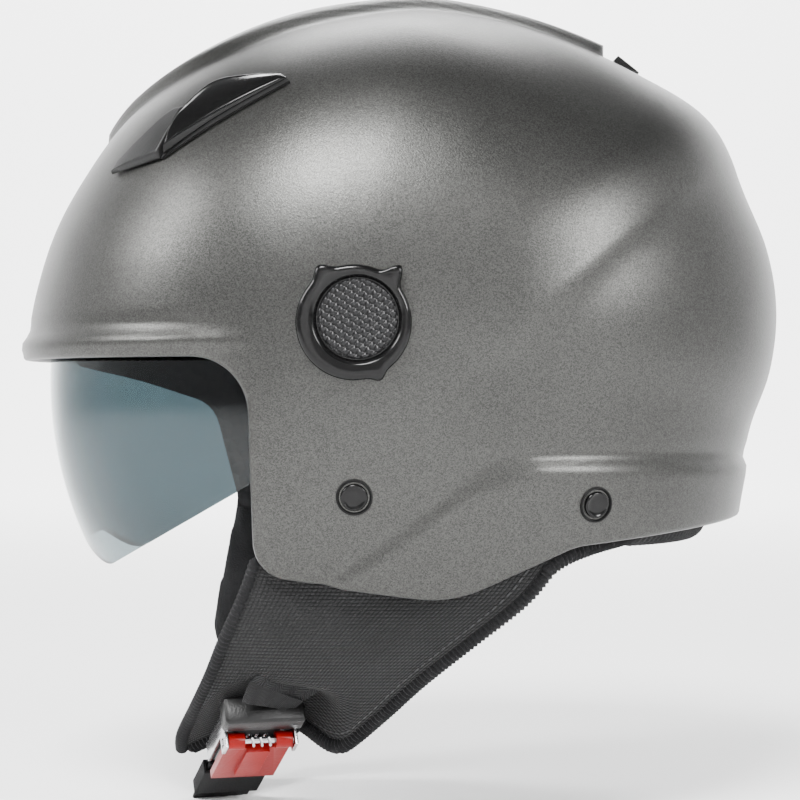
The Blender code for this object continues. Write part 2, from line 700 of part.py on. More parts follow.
def hanging_panel(rows, inset, thick, side, columns, lines, edge_power):
    """Grids of a soft panel that hangs inside the shell's surface, thin at its edges."""
    outer, inner = [], []
    for i in range(lines + 1):
        z = blend(rows[0][0], rows[-1][0], i / lines)
        front, rear = row_at(rows, z)
        outer_row, inner_row = [], []
        for j in range(columns + 1):
            u = 2.0 * j / columns - 1.0
            v = 2.0 * i / lines - 1.0
            full = math.sqrt(max(0.0, 1.0 - abs(u) ** edge_power) * max(0.0, 1.0 - abs(v) ** edge_power))
            half = thick / 2.0 * blend(EDGE_SHARE, 1.0, full)
            x = blend(front, rear, j / columns)
            y = dome_half_width(x, z, 0.0) - inset - flap_shift(z) - thick / 2.0
            outer_row.append(Vector((x, side * (y + half), z)))
            inner_row.append(Vector((x, side * (y - half), z)))
        outer.append(outer_row)
        inner.append(inner_row)
    return outer, inner


def make_soft_sides():
    """Cheek pads against the foam, and the side flaps that cover the straps."""
    for label, side in SIDES.items():
        pad = hanging_panel(CHEEK_ROWS, CHEEK_PAD_INSET, CHEEK_PAD_THICK, side, 5, 6, EDGE_POWER)
        add_object(f"cheek_pad_{label}", grid_solid(*pad), "lining")
        panel = hanging_panel(FLAP_ROWS, FLAP_INSET, FLAP_THICK, side, 8, 9, EDGE_POWER)
        flap = add_object(f"side_flap_{label}", grid_solid(*panel), "flap_fabric")
        width, height = FLAP_SLOT_SIZE[0] / 2.0, FLAP_SLOT_SIZE[1] / 2.0
        x, z = FLAP_SLOT
        slot = box((x - width, 0.0, z - height), (x + width, SHELL_HALF_WIDTH, z + height))
        boolean(flap, side_cutter(f"cut_strap_slot_{label}", slot, side))
        if label == "left":
            boolean(flap, buckle_room())


def buckle_room():
    """The space that the flap leaves for the buckle lying against it."""
    half = COVER_WIDTH / 2.0 + 4 * FIT
    start = CHANNEL_START - COVER_LENGTH - 4 * FIT
    room = box((-half, start, CHANNEL_FLOOR - COVER_DEPTH / 2.0), (half, TAIL_END, 4 * COVER_DEPTH))
    return add_cutter("cut_buckle_room", room, matrix=buckle_frame_matrix())


def sweep(name, points, radius, sides, surface, ratio=1.0):
    """A closed round bar through the points, as an object."""
    builder = bmesh.new()
    rings = []
    for index, point in enumerate(points):
        ahead = points[min(index + 1, len(points) - 1)] - points[max(index - 1, 0)]
        ahead.normalize()
        across = ahead.cross(Vector((0.0, 0.0, 1.0))).normalized()
        upward = across.cross(ahead)
        rings.append([builder.verts.new(point + across * radius * math.cos(math.tau * k / sides)
                                        + upward * radius * ratio * math.sin(math.tau * k / sides))
                      for k in range(sides)])
    for ring, following in zip(rings, rings[1:]):
        for k in range(sides):
            after = (k + 1) % sides
            builder.faces.new((ring[k], ring[after], following[after], following[k]))
    builder.faces.new(rings[0])
    builder.faces.new(rings[-1])
    return add_object(name, builder, surface)


def make_neck_roll():
    """The padded roll that closes the shell's rear rim against the neck."""
    points = []
    reach = rear_reach(NECK_ROLL_HEIGHT, NECK_ROLL_INSET)
    for k in range(NECK_ROLL_STEPS + 1):
        turn = math.pi * (k / NECK_ROLL_STEPS - 0.5)
        x = blend(NECK_ROLL_FRONT, reach, math.cos(turn))
        y = dome_half_width(x, NECK_ROLL_HEIGHT, NECK_ROLL_INSET)
        points.append(Vector((x, math.copysign(y, turn), NECK_ROLL_HEIGHT)))
    sweep("neck_roll", points, NECK_ROLL_RADIUS, NECK_ROLL_SIDES, "ribbed_fabric")


def rear_reach(z, inset):
    """How far back the surface reaches in the mid-plane at height z."""
    low, high = 0.0, SIDE_REACH
    for _ in range(40):
        middle = (low + high) / 2.0
        inside = math.hypot(middle, z) < outline_radius(math.atan2(z, middle)) - inset
        low, high = (middle, high) if inside else (low, middle)
    return low


# ------------------------------------------------------------------ sun visor and its drive
def visor_rows(side):
    """Rows of the visor from one eye to the mid-plane, as (grid function, share) pairs."""
    centre = (VISOR_TOP + VISOR_BOTTOM) / 2.0
    arm_turn = math.acos((VISOR_ARM_REACH / VISOR_REACH) ** (VISOR_ROUND / 2.0))

    def local(ahead, up, half_width):
        return Vector((HINGE.x - ahead * math.cos(centre) + up * math.sin(centre), side * half_width,
                       HINGE.z + ahead * math.sin(centre) + up * math.cos(centre)))

    def sheet(turn, share, inset):
        reach, half_width = visor_profile(turn, inset)
        nose = 1.0 - ease(VISOR_NOSE_HALF / 2.0, VISOR_NOSE_HALF * 1.5, half_width)
        bottom = VISOR_BOTTOM + VISOR_NOSE_RISE * nose
        point = at_hinge(reach, blend(bottom, VISOR_TOP, share))
        point.y = side * half_width
        return point

    def eye(share, inset):
        turn = math.pi * (share - 0.5)
        return local(-VISOR_EYE_RADIUS * math.cos(turn), VISOR_EYE_RADIUS * math.sin(turn),
                     VISOR_HALF_WIDTH - inset)

    def neck(share, inset):
        return local(BASE_PLATE_RADIUS, VISOR_EYE_RADIUS * (2.0 * share - 1.0), VISOR_HALF_WIDTH - inset)

    def arm(share, inset):
        return (neck(share, inset) + sheet(arm_turn, share, inset)) / 2.0

    rows = [eye, neck, arm]
    for k in range(VISOR_SHEET_ROWS):
        turn = arm_turn * (1.0 - k / VISOR_SHEET_ROWS)
        rows.append(lambda share, inset, turn=turn: sheet(turn, share, inset))
    middle = (lambda share, inset: sheet(0.0, share, inset))
    return rows, middle


def make_visor():
    """The drop-down sun visor with its two arms and eyes."""
    left_rows, middle = visor_rows(-1.0)
    right_rows, _ = visor_rows(1.0)
    rows = left_rows + [middle] + right_rows[::-1]
    shares = [k / VISOR_COLUMNS for k in range(VISOR_COLUMNS + 1)]
    outer = [[row(share, 0.0) for share in shares] for row in rows]
    inner = [[row(share, VISOR_WALL) for share in shares] for row in rows]
    builder = grid_solid(outer, inner)
    builder.transform(Matrix.Translation(-HINGE))
    visor = add_object("sun_visor", builder, "smoke_visor", matrix=Matrix.Translation(HINGE))
    for label, side in SIDES.items():
        hole = cylinder(HINGE_BOSS_RADIUS + FIT, ARM_INNER - SHELL_WALL, VISOR_HALF_WIDTH + SHELL_WALL)
        boolean(visor, side_cutter(f"cut_visor_eye_{label}", hole, side, HINGE))


def involute(angle):
    """The involute function of a pressure angle."""
    return math.tan(angle) - angle


def tooth_outline(teeth, centre):
    """One gear tooth's points in the side view, about the gear's own axis."""
    pitch = GEAR_MODULE * teeth / 2.0
    base = pitch * math.cos(GEAR_PRESSURE)
    root = pitch - GEAR_MODULE * GEAR_DEDENDUM
    tip = pitch + GEAR_MODULE * GEAR_ADDENDUM
    half_at_pitch = math.pi / (2.0 * teeth) - GEAR_BACKLASH / (2.0 * pitch)

    def half_angle(radius):
        pressure = math.acos(min(1.0, base / radius))
        return half_at_pitch + involute(GEAR_PRESSURE) - involute(pressure)

    flank = [(root, half_angle(base)), (pitch, half_at_pitch), (tip, half_angle(tip))]
    points = [(radius, centre - half) for radius, half in flank]
    points += [(radius, centre + half) for radius, half in reversed(flank)]
    return [(radius * math.cos(turn), radius * math.sin(turn)) for radius, turn in points]


def make_visor_gears():
    """A toothed sector on each visor arm, a screw that holds both, and the plate they turn on."""
    mesh_angle = HINGE_DIRECTION + math.pi
    pitch_angle = math.tau / VISOR_TEETH
    before = 2
    count = before + math.ceil(VISOR_TRAVEL / pitch_angle) + 2
    centres = [mesh_angle + pitch_angle * (k + 0.5 - before) for k in range(count)]
    outline = [point for centre in centres for point in tooth_outline(VISOR_TEETH, centre)]
    hub = VISOR_EYE_RADIUS - 2 * RUN
    start = centres[-1] + pitch_angle
    rest = math.tau - pitch_angle * (count + 1)
    outline += [(hub * math.cos(start + rest * k / 8.0), hub * math.sin(start + rest * k / 8.0))
                for k in range(9)]
    for label, side in SIDES.items():
        gear = side_object(f"visor_gear_{label}", prism(outline, VISOR_GEAR_FLOOR, VISOR_GEAR_TOP),
                           side, "nylon", HINGE)
        hole = cylinder(HINGE_BOSS_RADIUS + FIT, ARM_INNER, SHELL_HALF_WIDTH)
        boolean(gear, side_cutter(f"cut_gear_hole_{label}", hole, side, HINGE))
        hole_radius = HINGE_SCREW_RADIUS + FIT
        bottom = HINGE_BOSS_TOP + FIT - HINGE_SCREW_LENGTH - FIT
        plate = [(0.0, BASE_PLATE_FLOOR), (BASE_PLATE_RADIUS, BASE_PLATE_FLOOR),
                 (BASE_PLATE_RADIUS, BASE_PLATE_TOP), (HINGE_BOSS_RADIUS, BASE_PLATE_TOP),
                 (HINGE_BOSS_RADIUS, HINGE_BOSS_TOP), (hole_radius, HINGE_BOSS_TOP),
                 (hole_radius, bottom), (0.0, bottom)]
        side_object(f"visor_base_{label}", lathe(plate, MEDIUM_SEGMENTS), side, "satin_black", HINGE)
        head = HINGE_BOSS_TOP + FIT
        screw = [(0.0, head - HINGE_SCREW_LENGTH), (HINGE_SCREW_RADIUS, head - HINGE_SCREW_LENGTH),
                 (HINGE_SCREW_RADIUS, head), (HINGE_SCREW_HEAD_RADIUS, head),
                 (HINGE_SCREW_HEAD_RADIUS, head + HINGE_SCREW_HEAD), (0.0, head + HINGE_SCREW_HEAD)]
        side_object(f"hinge_screw_{label}", lathe(screw, MEDIUM_SEGMENTS), side, "steel", HINGE)


def knob_outline():
    """The knob's rim: a circle with ears that give the fingers a hold."""
    points = []
    for k in range(KNOB_POINTS):
        turn = math.tau * k / KNOB_POINTS
        radius = KNOB_RADIUS
        for ear, rise in KNOB_EARS:
            off = (turn - ear + math.pi) % math.tau - math.pi
            radius += rise * math.exp(-((off / KNOB_EAR_SPREAD) ** 2))
        points.append((radius * math.cos(turn), radius * math.sin(turn)))
    return points


def make_knobs():
    """On each side a knob with a grip insert and screw, and the pinion shaft that it turns."""
    mesh_turn = HINGE_DIRECTION
    pinion = [point for k in range(KNOB_TEETH)
              for point in tooth_outline(KNOB_TEETH, mesh_turn + math.tau * k / KNOB_TEETH)]
    insert_place = Vector((INSERT_SHIFT[0], 0.0, INSERT_SHIFT[1]))
    for label, side in SIDES.items():
        knob = side_object(f"knob_{label}", prism(knob_outline(), KNOB_FLOOR, KNOB_TOP), side, "gloss_black")
        edge = knob.modifiers.new("rounded_edge", "BEVEL")
        edge.width = KNOB_EDGE
        edge.segments = 1
        edge.angle_limit = math.radians(60.0)
        pocket = cylinder(INSERT_RADIUS + FIT, KNOB_POCKET_FLOOR, SIDE_REACH, ROUND_SEGMENTS)
        boolean(knob, side_cutter(f"cut_insert_pocket_{label}", pocket, side, insert_place))
        hole = cylinder(KNOB_SCREW_RADIUS + FIT, ARM_INNER, SIDE_REACH, LOW_SEGMENTS)
        boolean(knob, side_cutter(f"cut_knob_hole_{label}", hole, side))

        insert_top = KNOB_TOP - FIT
        insert = [(0.0, insert_top - INSERT_THICK), (INSERT_RADIUS, insert_top - INSERT_THICK),
                  (INSERT_RADIUS, insert_top - FIT), (INSERT_RADIUS - FIT, insert_top), (0.0, insert_top)]
        side_object(f"knob_insert_{label}", lathe(insert, ROUND_SEGMENTS), side, "satin_black", insert_place)

        shaft = side_object(f"knob_shaft_{label}", prism(pinion, PINION_FLOOR, PINION_TOP), side, "nylon")
        stem = cylinder(SHAFT_RADIUS, PINION_TOP - GEAR_THICK / 2.0, SHAFT_TOP)
        boolean(shaft, side_cutter(f"join_stem_{label}", stem, side), "UNION")
        floor = KNOB_POCKET_FLOOR + FIT - KNOB_SCREW_LENGTH
        bore = cylinder(KNOB_SCREW_RADIUS + FIT, floor - FIT, SIDE_REACH, LOW_SEGMENTS)
        boolean(shaft, side_cutter(f"cut_shaft_bore_{label}", bore, side))

        head = KNOB_POCKET_FLOOR + FIT
        screw = [(0.0, floor), (KNOB_SCREW_RADIUS, floor), (KNOB_SCREW_RADIUS, head),
                 (KNOB_SCREW_HEAD_RADIUS, head), (KNOB_SCREW_HEAD_RADIUS, head + KNOB_SCREW_HEAD),
                 (0.0, head + KNOB_SCREW_HEAD)]
        side_object(f"knob_screw_{label}", lathe(screw, LOW_SEGMENTS), side, "steel")


# ------------------------------------------------------------------ air intakes and outlet
def shift_line(points, distance):
    """A line of (x, z) points moved sideways, to the right of its direction."""
    moved = []
    for index, point in enumerate(points):
        ahead = Vector(points[min(index + 1, len(points) - 1)]) - Vector(points[max(index - 1, 0)])
        ahead.normalize()
        moved.append((point[0] + ahead.y * distance, point[1] - ahead.x * distance))
    return moved


def make_vents():
    """Front intakes: a base on the shell, a blade over it, and a wedge that slides to close it."""
    base_top = FIT + VENT_BASE_THICK
    blade_floor = base_top + FIT
    for label, side in SIDES.items():
        low = shift_line(BLADE_LOW, VENT_TRIM)
        base = side_patch(low, BLADE_HIGH, 5, 3, side, lambda u, v: (base_top, FIT))
        add_object(f"vent_base_{label}", grid_solid(*base), "satin_black")

        def blade_height(u, v):
            rise = blend(BLADE_RISE, BLADE_TIP_RISE, u)
            return blade_floor + rise * blend(0.5, 1.0, math.sin(math.pi * v)), blade_floor

        blade = side_patch(BLADE_LOW, BLADE_HIGH, 6, 4, side, blade_height)
        add_object(f"vent_blade_{label}", grid_solid(*blade), "gloss_black")

        def wedge_height(u, v):
            return WEDGE_LIFT + blend(WEDGE_TIP_RISE, WEDGE_RISE, u), WEDGE_LIFT

        wedge = side_patch(WEDGE_LOW, WEDGE_HIGH, 5, 3, side, wedge_height)
        add_object(f"vent_slider_{label}", grid_solid(*wedge), "satin_black")


def make_exhaust():
    """The dark air outlet behind the crown band's rear step."""
    outer, inner = [], []
    for i in range(4):
        angle = BAND_REAR_ANGLE - 1.4 * BAND_STEP_FOOT - EXHAUST_SPAN * i / 3.0
        outward = Vector((math.cos(angle), 0.0, math.sin(angle)))
        outer_row, inner_row = [], []
        for j in range(9):
            y = blend(-EXHAUST_HALF_WIDTH, EXHAUST_HALF_WIDTH, j / 8.0)
            share = (1.0 - (y / SHELL_HALF_WIDTH) ** ROUND_ACROSS) ** (1.0 / ROUND_ALONG)
            point = outward * share * outline_radius(angle) + Vector((0.0, y, 0.0))
            outer_row.append(point + outward * blend(EXHAUST_RISE, 2 * FIT + MERGE, i / 3.0) + outward * FIT)
            inner_row.append(point + outward * FIT)
        outer.append(outer_row)
        inner.append(inner_row)
    add_object("rear_exhaust", grid_solid(outer, inner), "satin_black")


# ------------------------------------------------------------------ chin strap
def curve_through(points, steps=3):
    """A smooth line through the points, whose first and last stretches stay straight."""
    line = [points[0]]
    count = len(points)
    for index in range(1, count - 2):
        before, start = points[max(index - 1, 0)], points[index]
        end, after = points[index + 1], points[min(index + 2, count - 1)]
        for step in range(steps):
            t = step / steps
            line.append(0.5 * ((2 * start) + (end - before) * t
                               + (2 * before - 5 * start + 4 * end - after) * t ** 2
                               + (3 * start - before - 3 * end + after) * t ** 3))
    return line + points[-2:]


def ribbon(name, guides, surface):
    """Webbing along guides of (point, outward), its flat side facing outwards."""
    line = curve_through([point for point, _ in guides])
    facing = curve_through([outward for _, outward in guides])
    outer, inner = [], []
    for index, point in enumerate(line):
        ahead = (line[min(index + 1, len(line) - 1)] - line[max(index - 1, 0)]).normalized()
        outward = (facing[index] - ahead * facing[index].dot(ahead)).normalized()
        across = ahead.cross(outward) * STRAP_WIDTH / 2.0
        thick = outward * STRAP_THICK / 2.0
        outer.append([point - across + thick, point + across + thick])
        inner.append([point - across - thick, point + across - thick])
    return add_object(name, grid_solid(outer, inner), surface)


def inside_flap(x, z, side, extra=0.0):
    """A guide of a strap's path inside the flap."""
    half_width = dome_half_width(x, z, 0.0) - STRAP_INSET - flap_shift(z) - extra
    return Vector((x, side * half_width, z)), side_normal(x, z, side)


def strap_end(rivet, lean):
    """Guides of a strap's end, flat under its rivet and leading off in the lean direction."""
    outward = rivet.to_3x3() @ Vector((0.0, 1.0, 0.0))
    ahead = (lean - outward * lean.dot(outward)).normalized()
    start = rivet @ Vector((0.0, STRAP_AT_RIVET, 0.0))
    return [(start + ahead * distance, outward)
            for distance in (-STRAP_OVERHANG, STRAP_OVERHANG)]


def make_straps():
    """Each side's two straps, from the rivets down; the left one ends at the buckle."""
    frame = buckle_frame_matrix()
    away = frame.to_3x3() @ Vector((0.0, 0.0, 1.0))
    for label, side in SIDES.items():
        x, z = FLAP_SLOT
        outward = (side_normal(x, z, side) + Vector((0.0, 0.0, -STRAP_SLOT_TILT))).normalized()
        slot_place = side * (dome_half_width(x, z, 0.0) - FLAP_INSET - flap_shift(z) - FLAP_THICK / 2.0)
        guides = strap_end(surface_frame(*RIVETS["front"], side), Vector((0.0, 0.0, -1.0)))
        guides += [inside_flap(x_in, z_in, side, extra) for x_in, z_in, extra in FRONT_GUIDES]
        guides.append((Vector((x - STRAP_SLOT_LEAD, slot_place, z)), outward))
        if label == "left":
            end = CHANNEL_START - COVER_LENGTH - STRAP_BUTT_GAP
            guides += [(frame @ Vector((0.0, end - STRAP_STRAIGHT, 0.0)), away),
                       (frame @ Vector((0.0, end, 0.0)), away)]
        else:
            guides += [(Vector(point), Vector(outward)) for point, outward in CHIN_GUIDES]
            guides += [(frame @ Vector((0.0, SLEEVE_END + STRAP_STRAIGHT, 0.0)), away),
                       (frame @ Vector((0.0, SLEEVE_END + 2 * FIT, 0.0)), away)]
        strap = ribbon(f"strap_front_{label}", guides, "webbing")
        cut_rivet_hole(strap, "front", label, side)

        guides = strap_end(surface_frame(*RIVETS["rear"], side), Vector(REAR_STRAP_LEAN))
        guides += [inside_flap(x, z, side, extra) for x, z, extra in REAR_GUIDES]
        strap = ribbon(f"strap_rear_{label}", guides, "webbing")
        cut_rivet_hole(strap, "rear", label, side)


def cut_rivet_hole(strap, place, label, side):
    """The hole through which a rivet holds the end of a strap."""
    frame = surface_frame(*RIVETS[place], side)
    depth = 3 * STRAP_THICK
    hole = cylinder(RIVET_SHANK_RADIUS + FIT, STRAP_AT_RIVET - depth, STRAP_AT_RIVET + depth)
    boolean(strap, add_cutter(f"cut_strap_hole_{place}_{label}", hole, matrix=frame))


def make_rivets():
    """Capped rivets through the shell, each with a steel plate that spreads the strap's pull."""
    cap_floor = -RIVET_RECESS + FIT
    cap_top = cap_floor + RIVET_CAP
    tail_floor = RIVET_TAIL_TOP - RIVET_TAIL
    profile = [(0.0, tail_floor), (RIVET_TAIL_RADIUS, tail_floor), (RIVET_TAIL_RADIUS, RIVET_TAIL_TOP),
               (RIVET_SHANK_RADIUS, RIVET_TAIL_TOP), (RIVET_SHANK_RADIUS, cap_floor),
               (RIVET_CAP_RADIUS, cap_floor), (RIVET_CAP_RADIUS, cap_top - FIT),
               (RIVET_CAP_RADIUS - FIT, cap_top), (0.0, cap_top)]
    for label, side in SIDES.items():
        for place, (x, z) in RIVETS.items():
            frame = surface_frame(x, z, side)
            add_object(f"rivet_{place}_{label}", lathe(profile, MEDIUM_SEGMENTS), "gloss_black", matrix=frame)
            half_width, half_height = ANCHOR_PLATE[0] / 2.0, ANCHOR_PLATE[1] / 2.0
            block = box((-half_width, ANCHOR_FLOOR, -half_height), (half_width, ANCHOR_TOP, half_height))
            plate = add_object(f"anchor_plate_{place}_{label}", block, "steel", smooth=False, matrix=frame)
            hole = cylinder(RIVET_SHANK_RADIUS + FIT, -SHELL_WALL * 3, 0.0)
            boolean(plate, add_cutter(f"cut_plate_hole_{place}_{label}", hole, matrix=frame))


# ------------------------------------------------------------------ buckle
def buckle_frame_matrix():
    """The buckle's own frame in the helmet."""
    sine, cosine = math.sin(BUCKLE_YAW), math.cos(BUCKLE_YAW)
    drop, level = math.sin(BUCKLE_PITCH), math.cos(BUCKLE_PITCH)
    across = Vector((-cosine, -sine, 0.0))
    ahead = Vector((-sine * level, cosine * level, -drop))
    frame = Matrix((across, ahead, across.cross(ahead))).transposed().to_4x4()
    frame.translation = BUCKLE_CENTRE
    return frame


def across_bar(points, half_width):
    """A bmesh bar across the buckle over an outline in (y, z)."""
    builder = prism(points, -half_width, half_width)
    builder.transform(Matrix(((0.0, 1.0, 0.0, 0.0), (1.0, 0.0, 0.0, 0.0),
                              (0.0, 0.0, 1.0, 0.0), (0.0, 0.0, 0.0, 1.0))))
    return builder


def pin_circle(radius, segments):
    """A circle about the lever pin, in (y, z)."""
    return [(LEVER_PIN_Y + radius * math.cos(math.tau * k / segments),
             LEVER_PIN_Z + radius * math.sin(math.tau * k / segments)) for k in range(segments)]


def make_buckle():
    """The micrometric buckle: channel, cover, lever with pawl, pin, spring, tongue and sleeve."""
    frame = buckle_frame_matrix()
    half = BUCKLE_WIDTH / 2.0
    inner = half - BUCKLE_WALL
    section = [(-half, CHANNEL_FLOOR), (half, CHANNEL_FLOOR), (half, CHANNEL_TOP), (inner, CHANNEL_TOP),
               (inner, CHANNEL_FLOOR + BUCKLE_WALL), (-inner, CHANNEL_FLOOR + BUCKLE_WALL),
               (-inner, CHANNEL_TOP), (-half, CHANNEL_TOP)]
    channel = add_object("buckle_channel", prism(section, CHANNEL_START, CHANNEL_END), "steel",
                         smooth=False, matrix=frame)
    for label, side in SIDES.items():
        low = min(side * half, side * inner)
        ear = box((low, LEVER_PIN_Y - EAR_HALF_LENGTH, CHANNEL_TOP - BUCKLE_WALL),
                  (low + BUCKLE_WALL, LEVER_PIN_Y + EAR_HALF_LENGTH, LEVER_PIN_Z + EAR_HALF_LENGTH))
        boolean(channel, add_cutter(f"join_ear_{label}", ear, matrix=frame), "UNION")
    bore = across_bar(pin_circle(LEVER_PIN_RADIUS + LEVER_PIN_FIT, LOW_SEGMENTS), BUCKLE_WIDTH)
    boolean(channel, add_cutter("cut_ear_holes", bore, matrix=frame))

    cover_start = CHANNEL_START - FIT - COVER_LENGTH
    block = box((-COVER_WIDTH / 2.0, cover_start, -COVER_DEPTH / 2.0),
                (COVER_WIDTH / 2.0, cover_start + COVER_LENGTH, COVER_DEPTH / 2.0))
    cover = add_object("buckle_cover", block, "satin_black", matrix=frame)
    edge = cover.modifiers.new("rounded_edge", "BEVEL")
    edge.width = COVER_EDGE
    edge.segments = 2

    pin = across_bar(pin_circle(LEVER_PIN_RADIUS, LOW_SEGMENTS), half + FIT)
    add_object("lever_pin", pin, "steel", matrix=frame)
    make_lever(frame, inner - RUN)
    make_spring(frame)
    make_tongue(frame)
    make_sleeve(frame)


def make_lever(frame, half_width):
    """The red release lever with its rib and pull tab, and the pawl beneath it."""
    plate_floor = LEVER_PIN_Z - LEVER_THICK / 2.0
    plate_top = plate_floor + LEVER_THICK
    rib_end = LEVER_END - LEVER_TAB_LENGTH
    side_view = [(LEVER_PIN_Y, plate_floor), (LEVER_END, plate_floor), (LEVER_END, plate_top),
                 (LEVER_PIN_Y, plate_top)]
    hinge = frame @ Matrix.Translation((0.0, LEVER_PIN_Y, LEVER_PIN_Z))
    back = Matrix.Translation((0.0, -LEVER_PIN_Y, -LEVER_PIN_Z))

    def placed(builder):
        builder.transform(back)
        return builder

    lever = add_object("buckle_lever", placed(across_bar(side_view, half_width)), "lever_red", matrix=hinge)
    hub = across_bar(pin_circle(LEVER_HUB_RADIUS, MEDIUM_SEGMENTS), half_width)
    boolean(lever, add_cutter("join_lever_hub", placed(hub), matrix=hinge), "UNION")
    rib = box((-LEVER_RIB_WIDTH / 2.0, LEVER_PIN_Y, plate_top - LEVER_RIB_RISE),
              (LEVER_RIB_WIDTH / 2.0, rib_end, plate_top + LEVER_RIB_RISE))
    boolean(lever, add_cutter("join_lever_rib", placed(rib), matrix=hinge), "UNION")
    tab = box((-LEVER_RIB_WIDTH, rib_end, plate_floor - LEVER_RIB_RISE),
              (LEVER_RIB_WIDTH, LEVER_END + LEVER_RIB_RISE, plate_floor + LEVER_RIB_RISE))
    boolean(lever, add_cutter("join_lever_tab", placed(tab), matrix=hinge), "UNION")
    bay = box((-SPRING_BAY, LEVER_PIN_Y - 2 * LEVER_HUB_RADIUS, plate_floor - LEVER_HUB_RADIUS),
              (SPRING_BAY, LEVER_PIN_Y + LEVER_HUB_RADIUS + 2 * FIT, plate_top + LEVER_HUB_RADIUS))
    boolean(lever, add_cutter("cut_spring_bay", placed(bay), matrix=hinge))
    bore = across_bar(pin_circle(LEVER_PIN_RADIUS + LEVER_PIN_FIT, LOW_SEGMENTS), BUCKLE_WIDTH)
    boolean(lever, add_cutter("cut_lever_bore", placed(bore), matrix=hinge))

    tooth_top = TONGUE_TOP + TOOTH_HEIGHT
    pawl_view = [(PAWL_START, plate_floor - FIT), (PAWL_START + PAWL_LENGTH / 4.0, tooth_top + FIT),
                 (PAWL_START + PAWL_LENGTH / 2.0, tooth_top + FIT),
                 (PAWL_START + PAWL_LENGTH, plate_floor - FIT)]
    add_object("buckle_pawl", placed(across_bar(pawl_view, PAWL_WIDTH / 2.0)), "steel", matrix=hinge)


def make_spring(frame):
    """The coiled return spring around the lever pin."""
    points = []
    steps = SPRING_STEPS
    for k in range(SPRING_TURNS * steps + 1):
        turn = math.tau * k / steps
        x = blend(-SPRING_BAY, SPRING_BAY, k / (SPRING_TURNS * steps)) * SPRING_SPREAD
        points.append(frame @ Vector((x, LEVER_PIN_Y + SPRING_RADIUS * math.cos(turn),
                                      LEVER_PIN_Z + SPRING_RADIUS * math.sin(turn))))
    sweep("lever_spring", points, SPRING_WIRE, 4, "steel")


def make_tongue(frame):
    """The toothed strip that the pawl holds, with the strap end sewn to it."""
    teeth = []
    for k in range(TOOTH_COUNT):
        start = TONGUE_START + TOOTH_PITCH * k
        teeth.append((start + TOOTH_PITCH * TOOTH_LEAN, TONGUE_TOP + TOOTH_HEIGHT))
        teeth.append((start + TOOTH_PITCH, TONGUE_TOP))
    outline = [(TONGUE_START, TONGUE_TOP)] + teeth
    outline += [(TONGUE_END, TONGUE_TOP), (TONGUE_END, TONGUE_FLOOR), (TONGUE_START, TONGUE_FLOOR)]
    add_object("ratchet_tongue", across_bar(outline, TONGUE_WIDTH / 2.0), "nylon", smooth=False, matrix=frame)
    tail = box((-STRAP_WIDTH / 2.0, TONGUE_END + FIT, -STRAP_THICK / 2.0),
               (STRAP_WIDTH / 2.0, TAIL_END, STRAP_THICK / 2.0))
    add_object("strap_tail", tail, "webbing", smooth=False, matrix=frame)


def make_sleeve(frame):
    """The soft sleeve under the chin that the strap's end slides into."""
    half_width = STRAP_WIDTH / 2.0 + RUN + SLEEVE_WALL
    half_depth = STRAP_THICK / 2.0 + SLEEVE_ROOM / 2.0 + SLEEVE_WALL
    block = box((-half_width, SLEEVE_START, -half_depth), (half_width, SLEEVE_END, half_depth))
    sleeve = add_object("comfort_sleeve", block, "lining", smooth=False, matrix=frame)
    room = box((SLEEVE_WALL - half_width, SLEEVE_START - SLEEVE_WALL, SLEEVE_WALL - half_depth),
               (half_width - SLEEVE_WALL, SLEEVE_END + SLEEVE_WALL, half_depth - SLEEVE_WALL))
    boolean(sleeve, add_cutter("cut_sleeve_room", room, matrix=frame))


clear_scene()
make_shell()
make_liner()
make_crown_pad()
make_soft_sides()
make_neck_roll()
make_visor()
make_visor_gears()
make_knobs()
make_vents()
make_exhaust()
make_straps()
make_rivets()
make_buckle()
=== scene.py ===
"""Open-face scooter helmet: moulded shell, foam liner, pads, drop-down visor, strap and buckle.

Metres, +Z up. The front faces -X and the wearer's left is -Y. The origin is on the knob axis.
"""
import math

import bmesh
import bpy
from mathutils import Matrix, Vector, noise


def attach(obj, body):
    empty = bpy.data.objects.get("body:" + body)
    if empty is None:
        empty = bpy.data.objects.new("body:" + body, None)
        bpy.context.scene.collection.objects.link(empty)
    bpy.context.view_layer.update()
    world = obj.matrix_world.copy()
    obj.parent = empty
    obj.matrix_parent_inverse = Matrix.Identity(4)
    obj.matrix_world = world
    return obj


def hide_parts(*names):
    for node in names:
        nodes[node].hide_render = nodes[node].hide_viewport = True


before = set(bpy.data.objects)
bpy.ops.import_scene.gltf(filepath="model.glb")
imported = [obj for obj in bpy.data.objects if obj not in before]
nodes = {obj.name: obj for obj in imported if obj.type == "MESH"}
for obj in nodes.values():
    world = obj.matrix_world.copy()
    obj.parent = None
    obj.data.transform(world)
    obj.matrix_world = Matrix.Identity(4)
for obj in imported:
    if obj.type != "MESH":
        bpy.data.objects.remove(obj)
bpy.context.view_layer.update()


# ---- Camera. It stands level with the helmet, straight to the wearer's left, 0.9 m from the middle,
# with a long lens.
camera_data = bpy.data.cameras.new("camera")
camera_data.lens = 106.6
camera_data.sensor_width = 36.0
camera = bpy.data.objects.new("camera", camera_data)
camera.location = (0.0152, -0.90, -0.0255)
camera.rotation_euler = (math.radians(90.0), 0.0, 0.0)
bpy.context.scene.collection.objects.link(camera)
bpy.context.scene.camera = camera


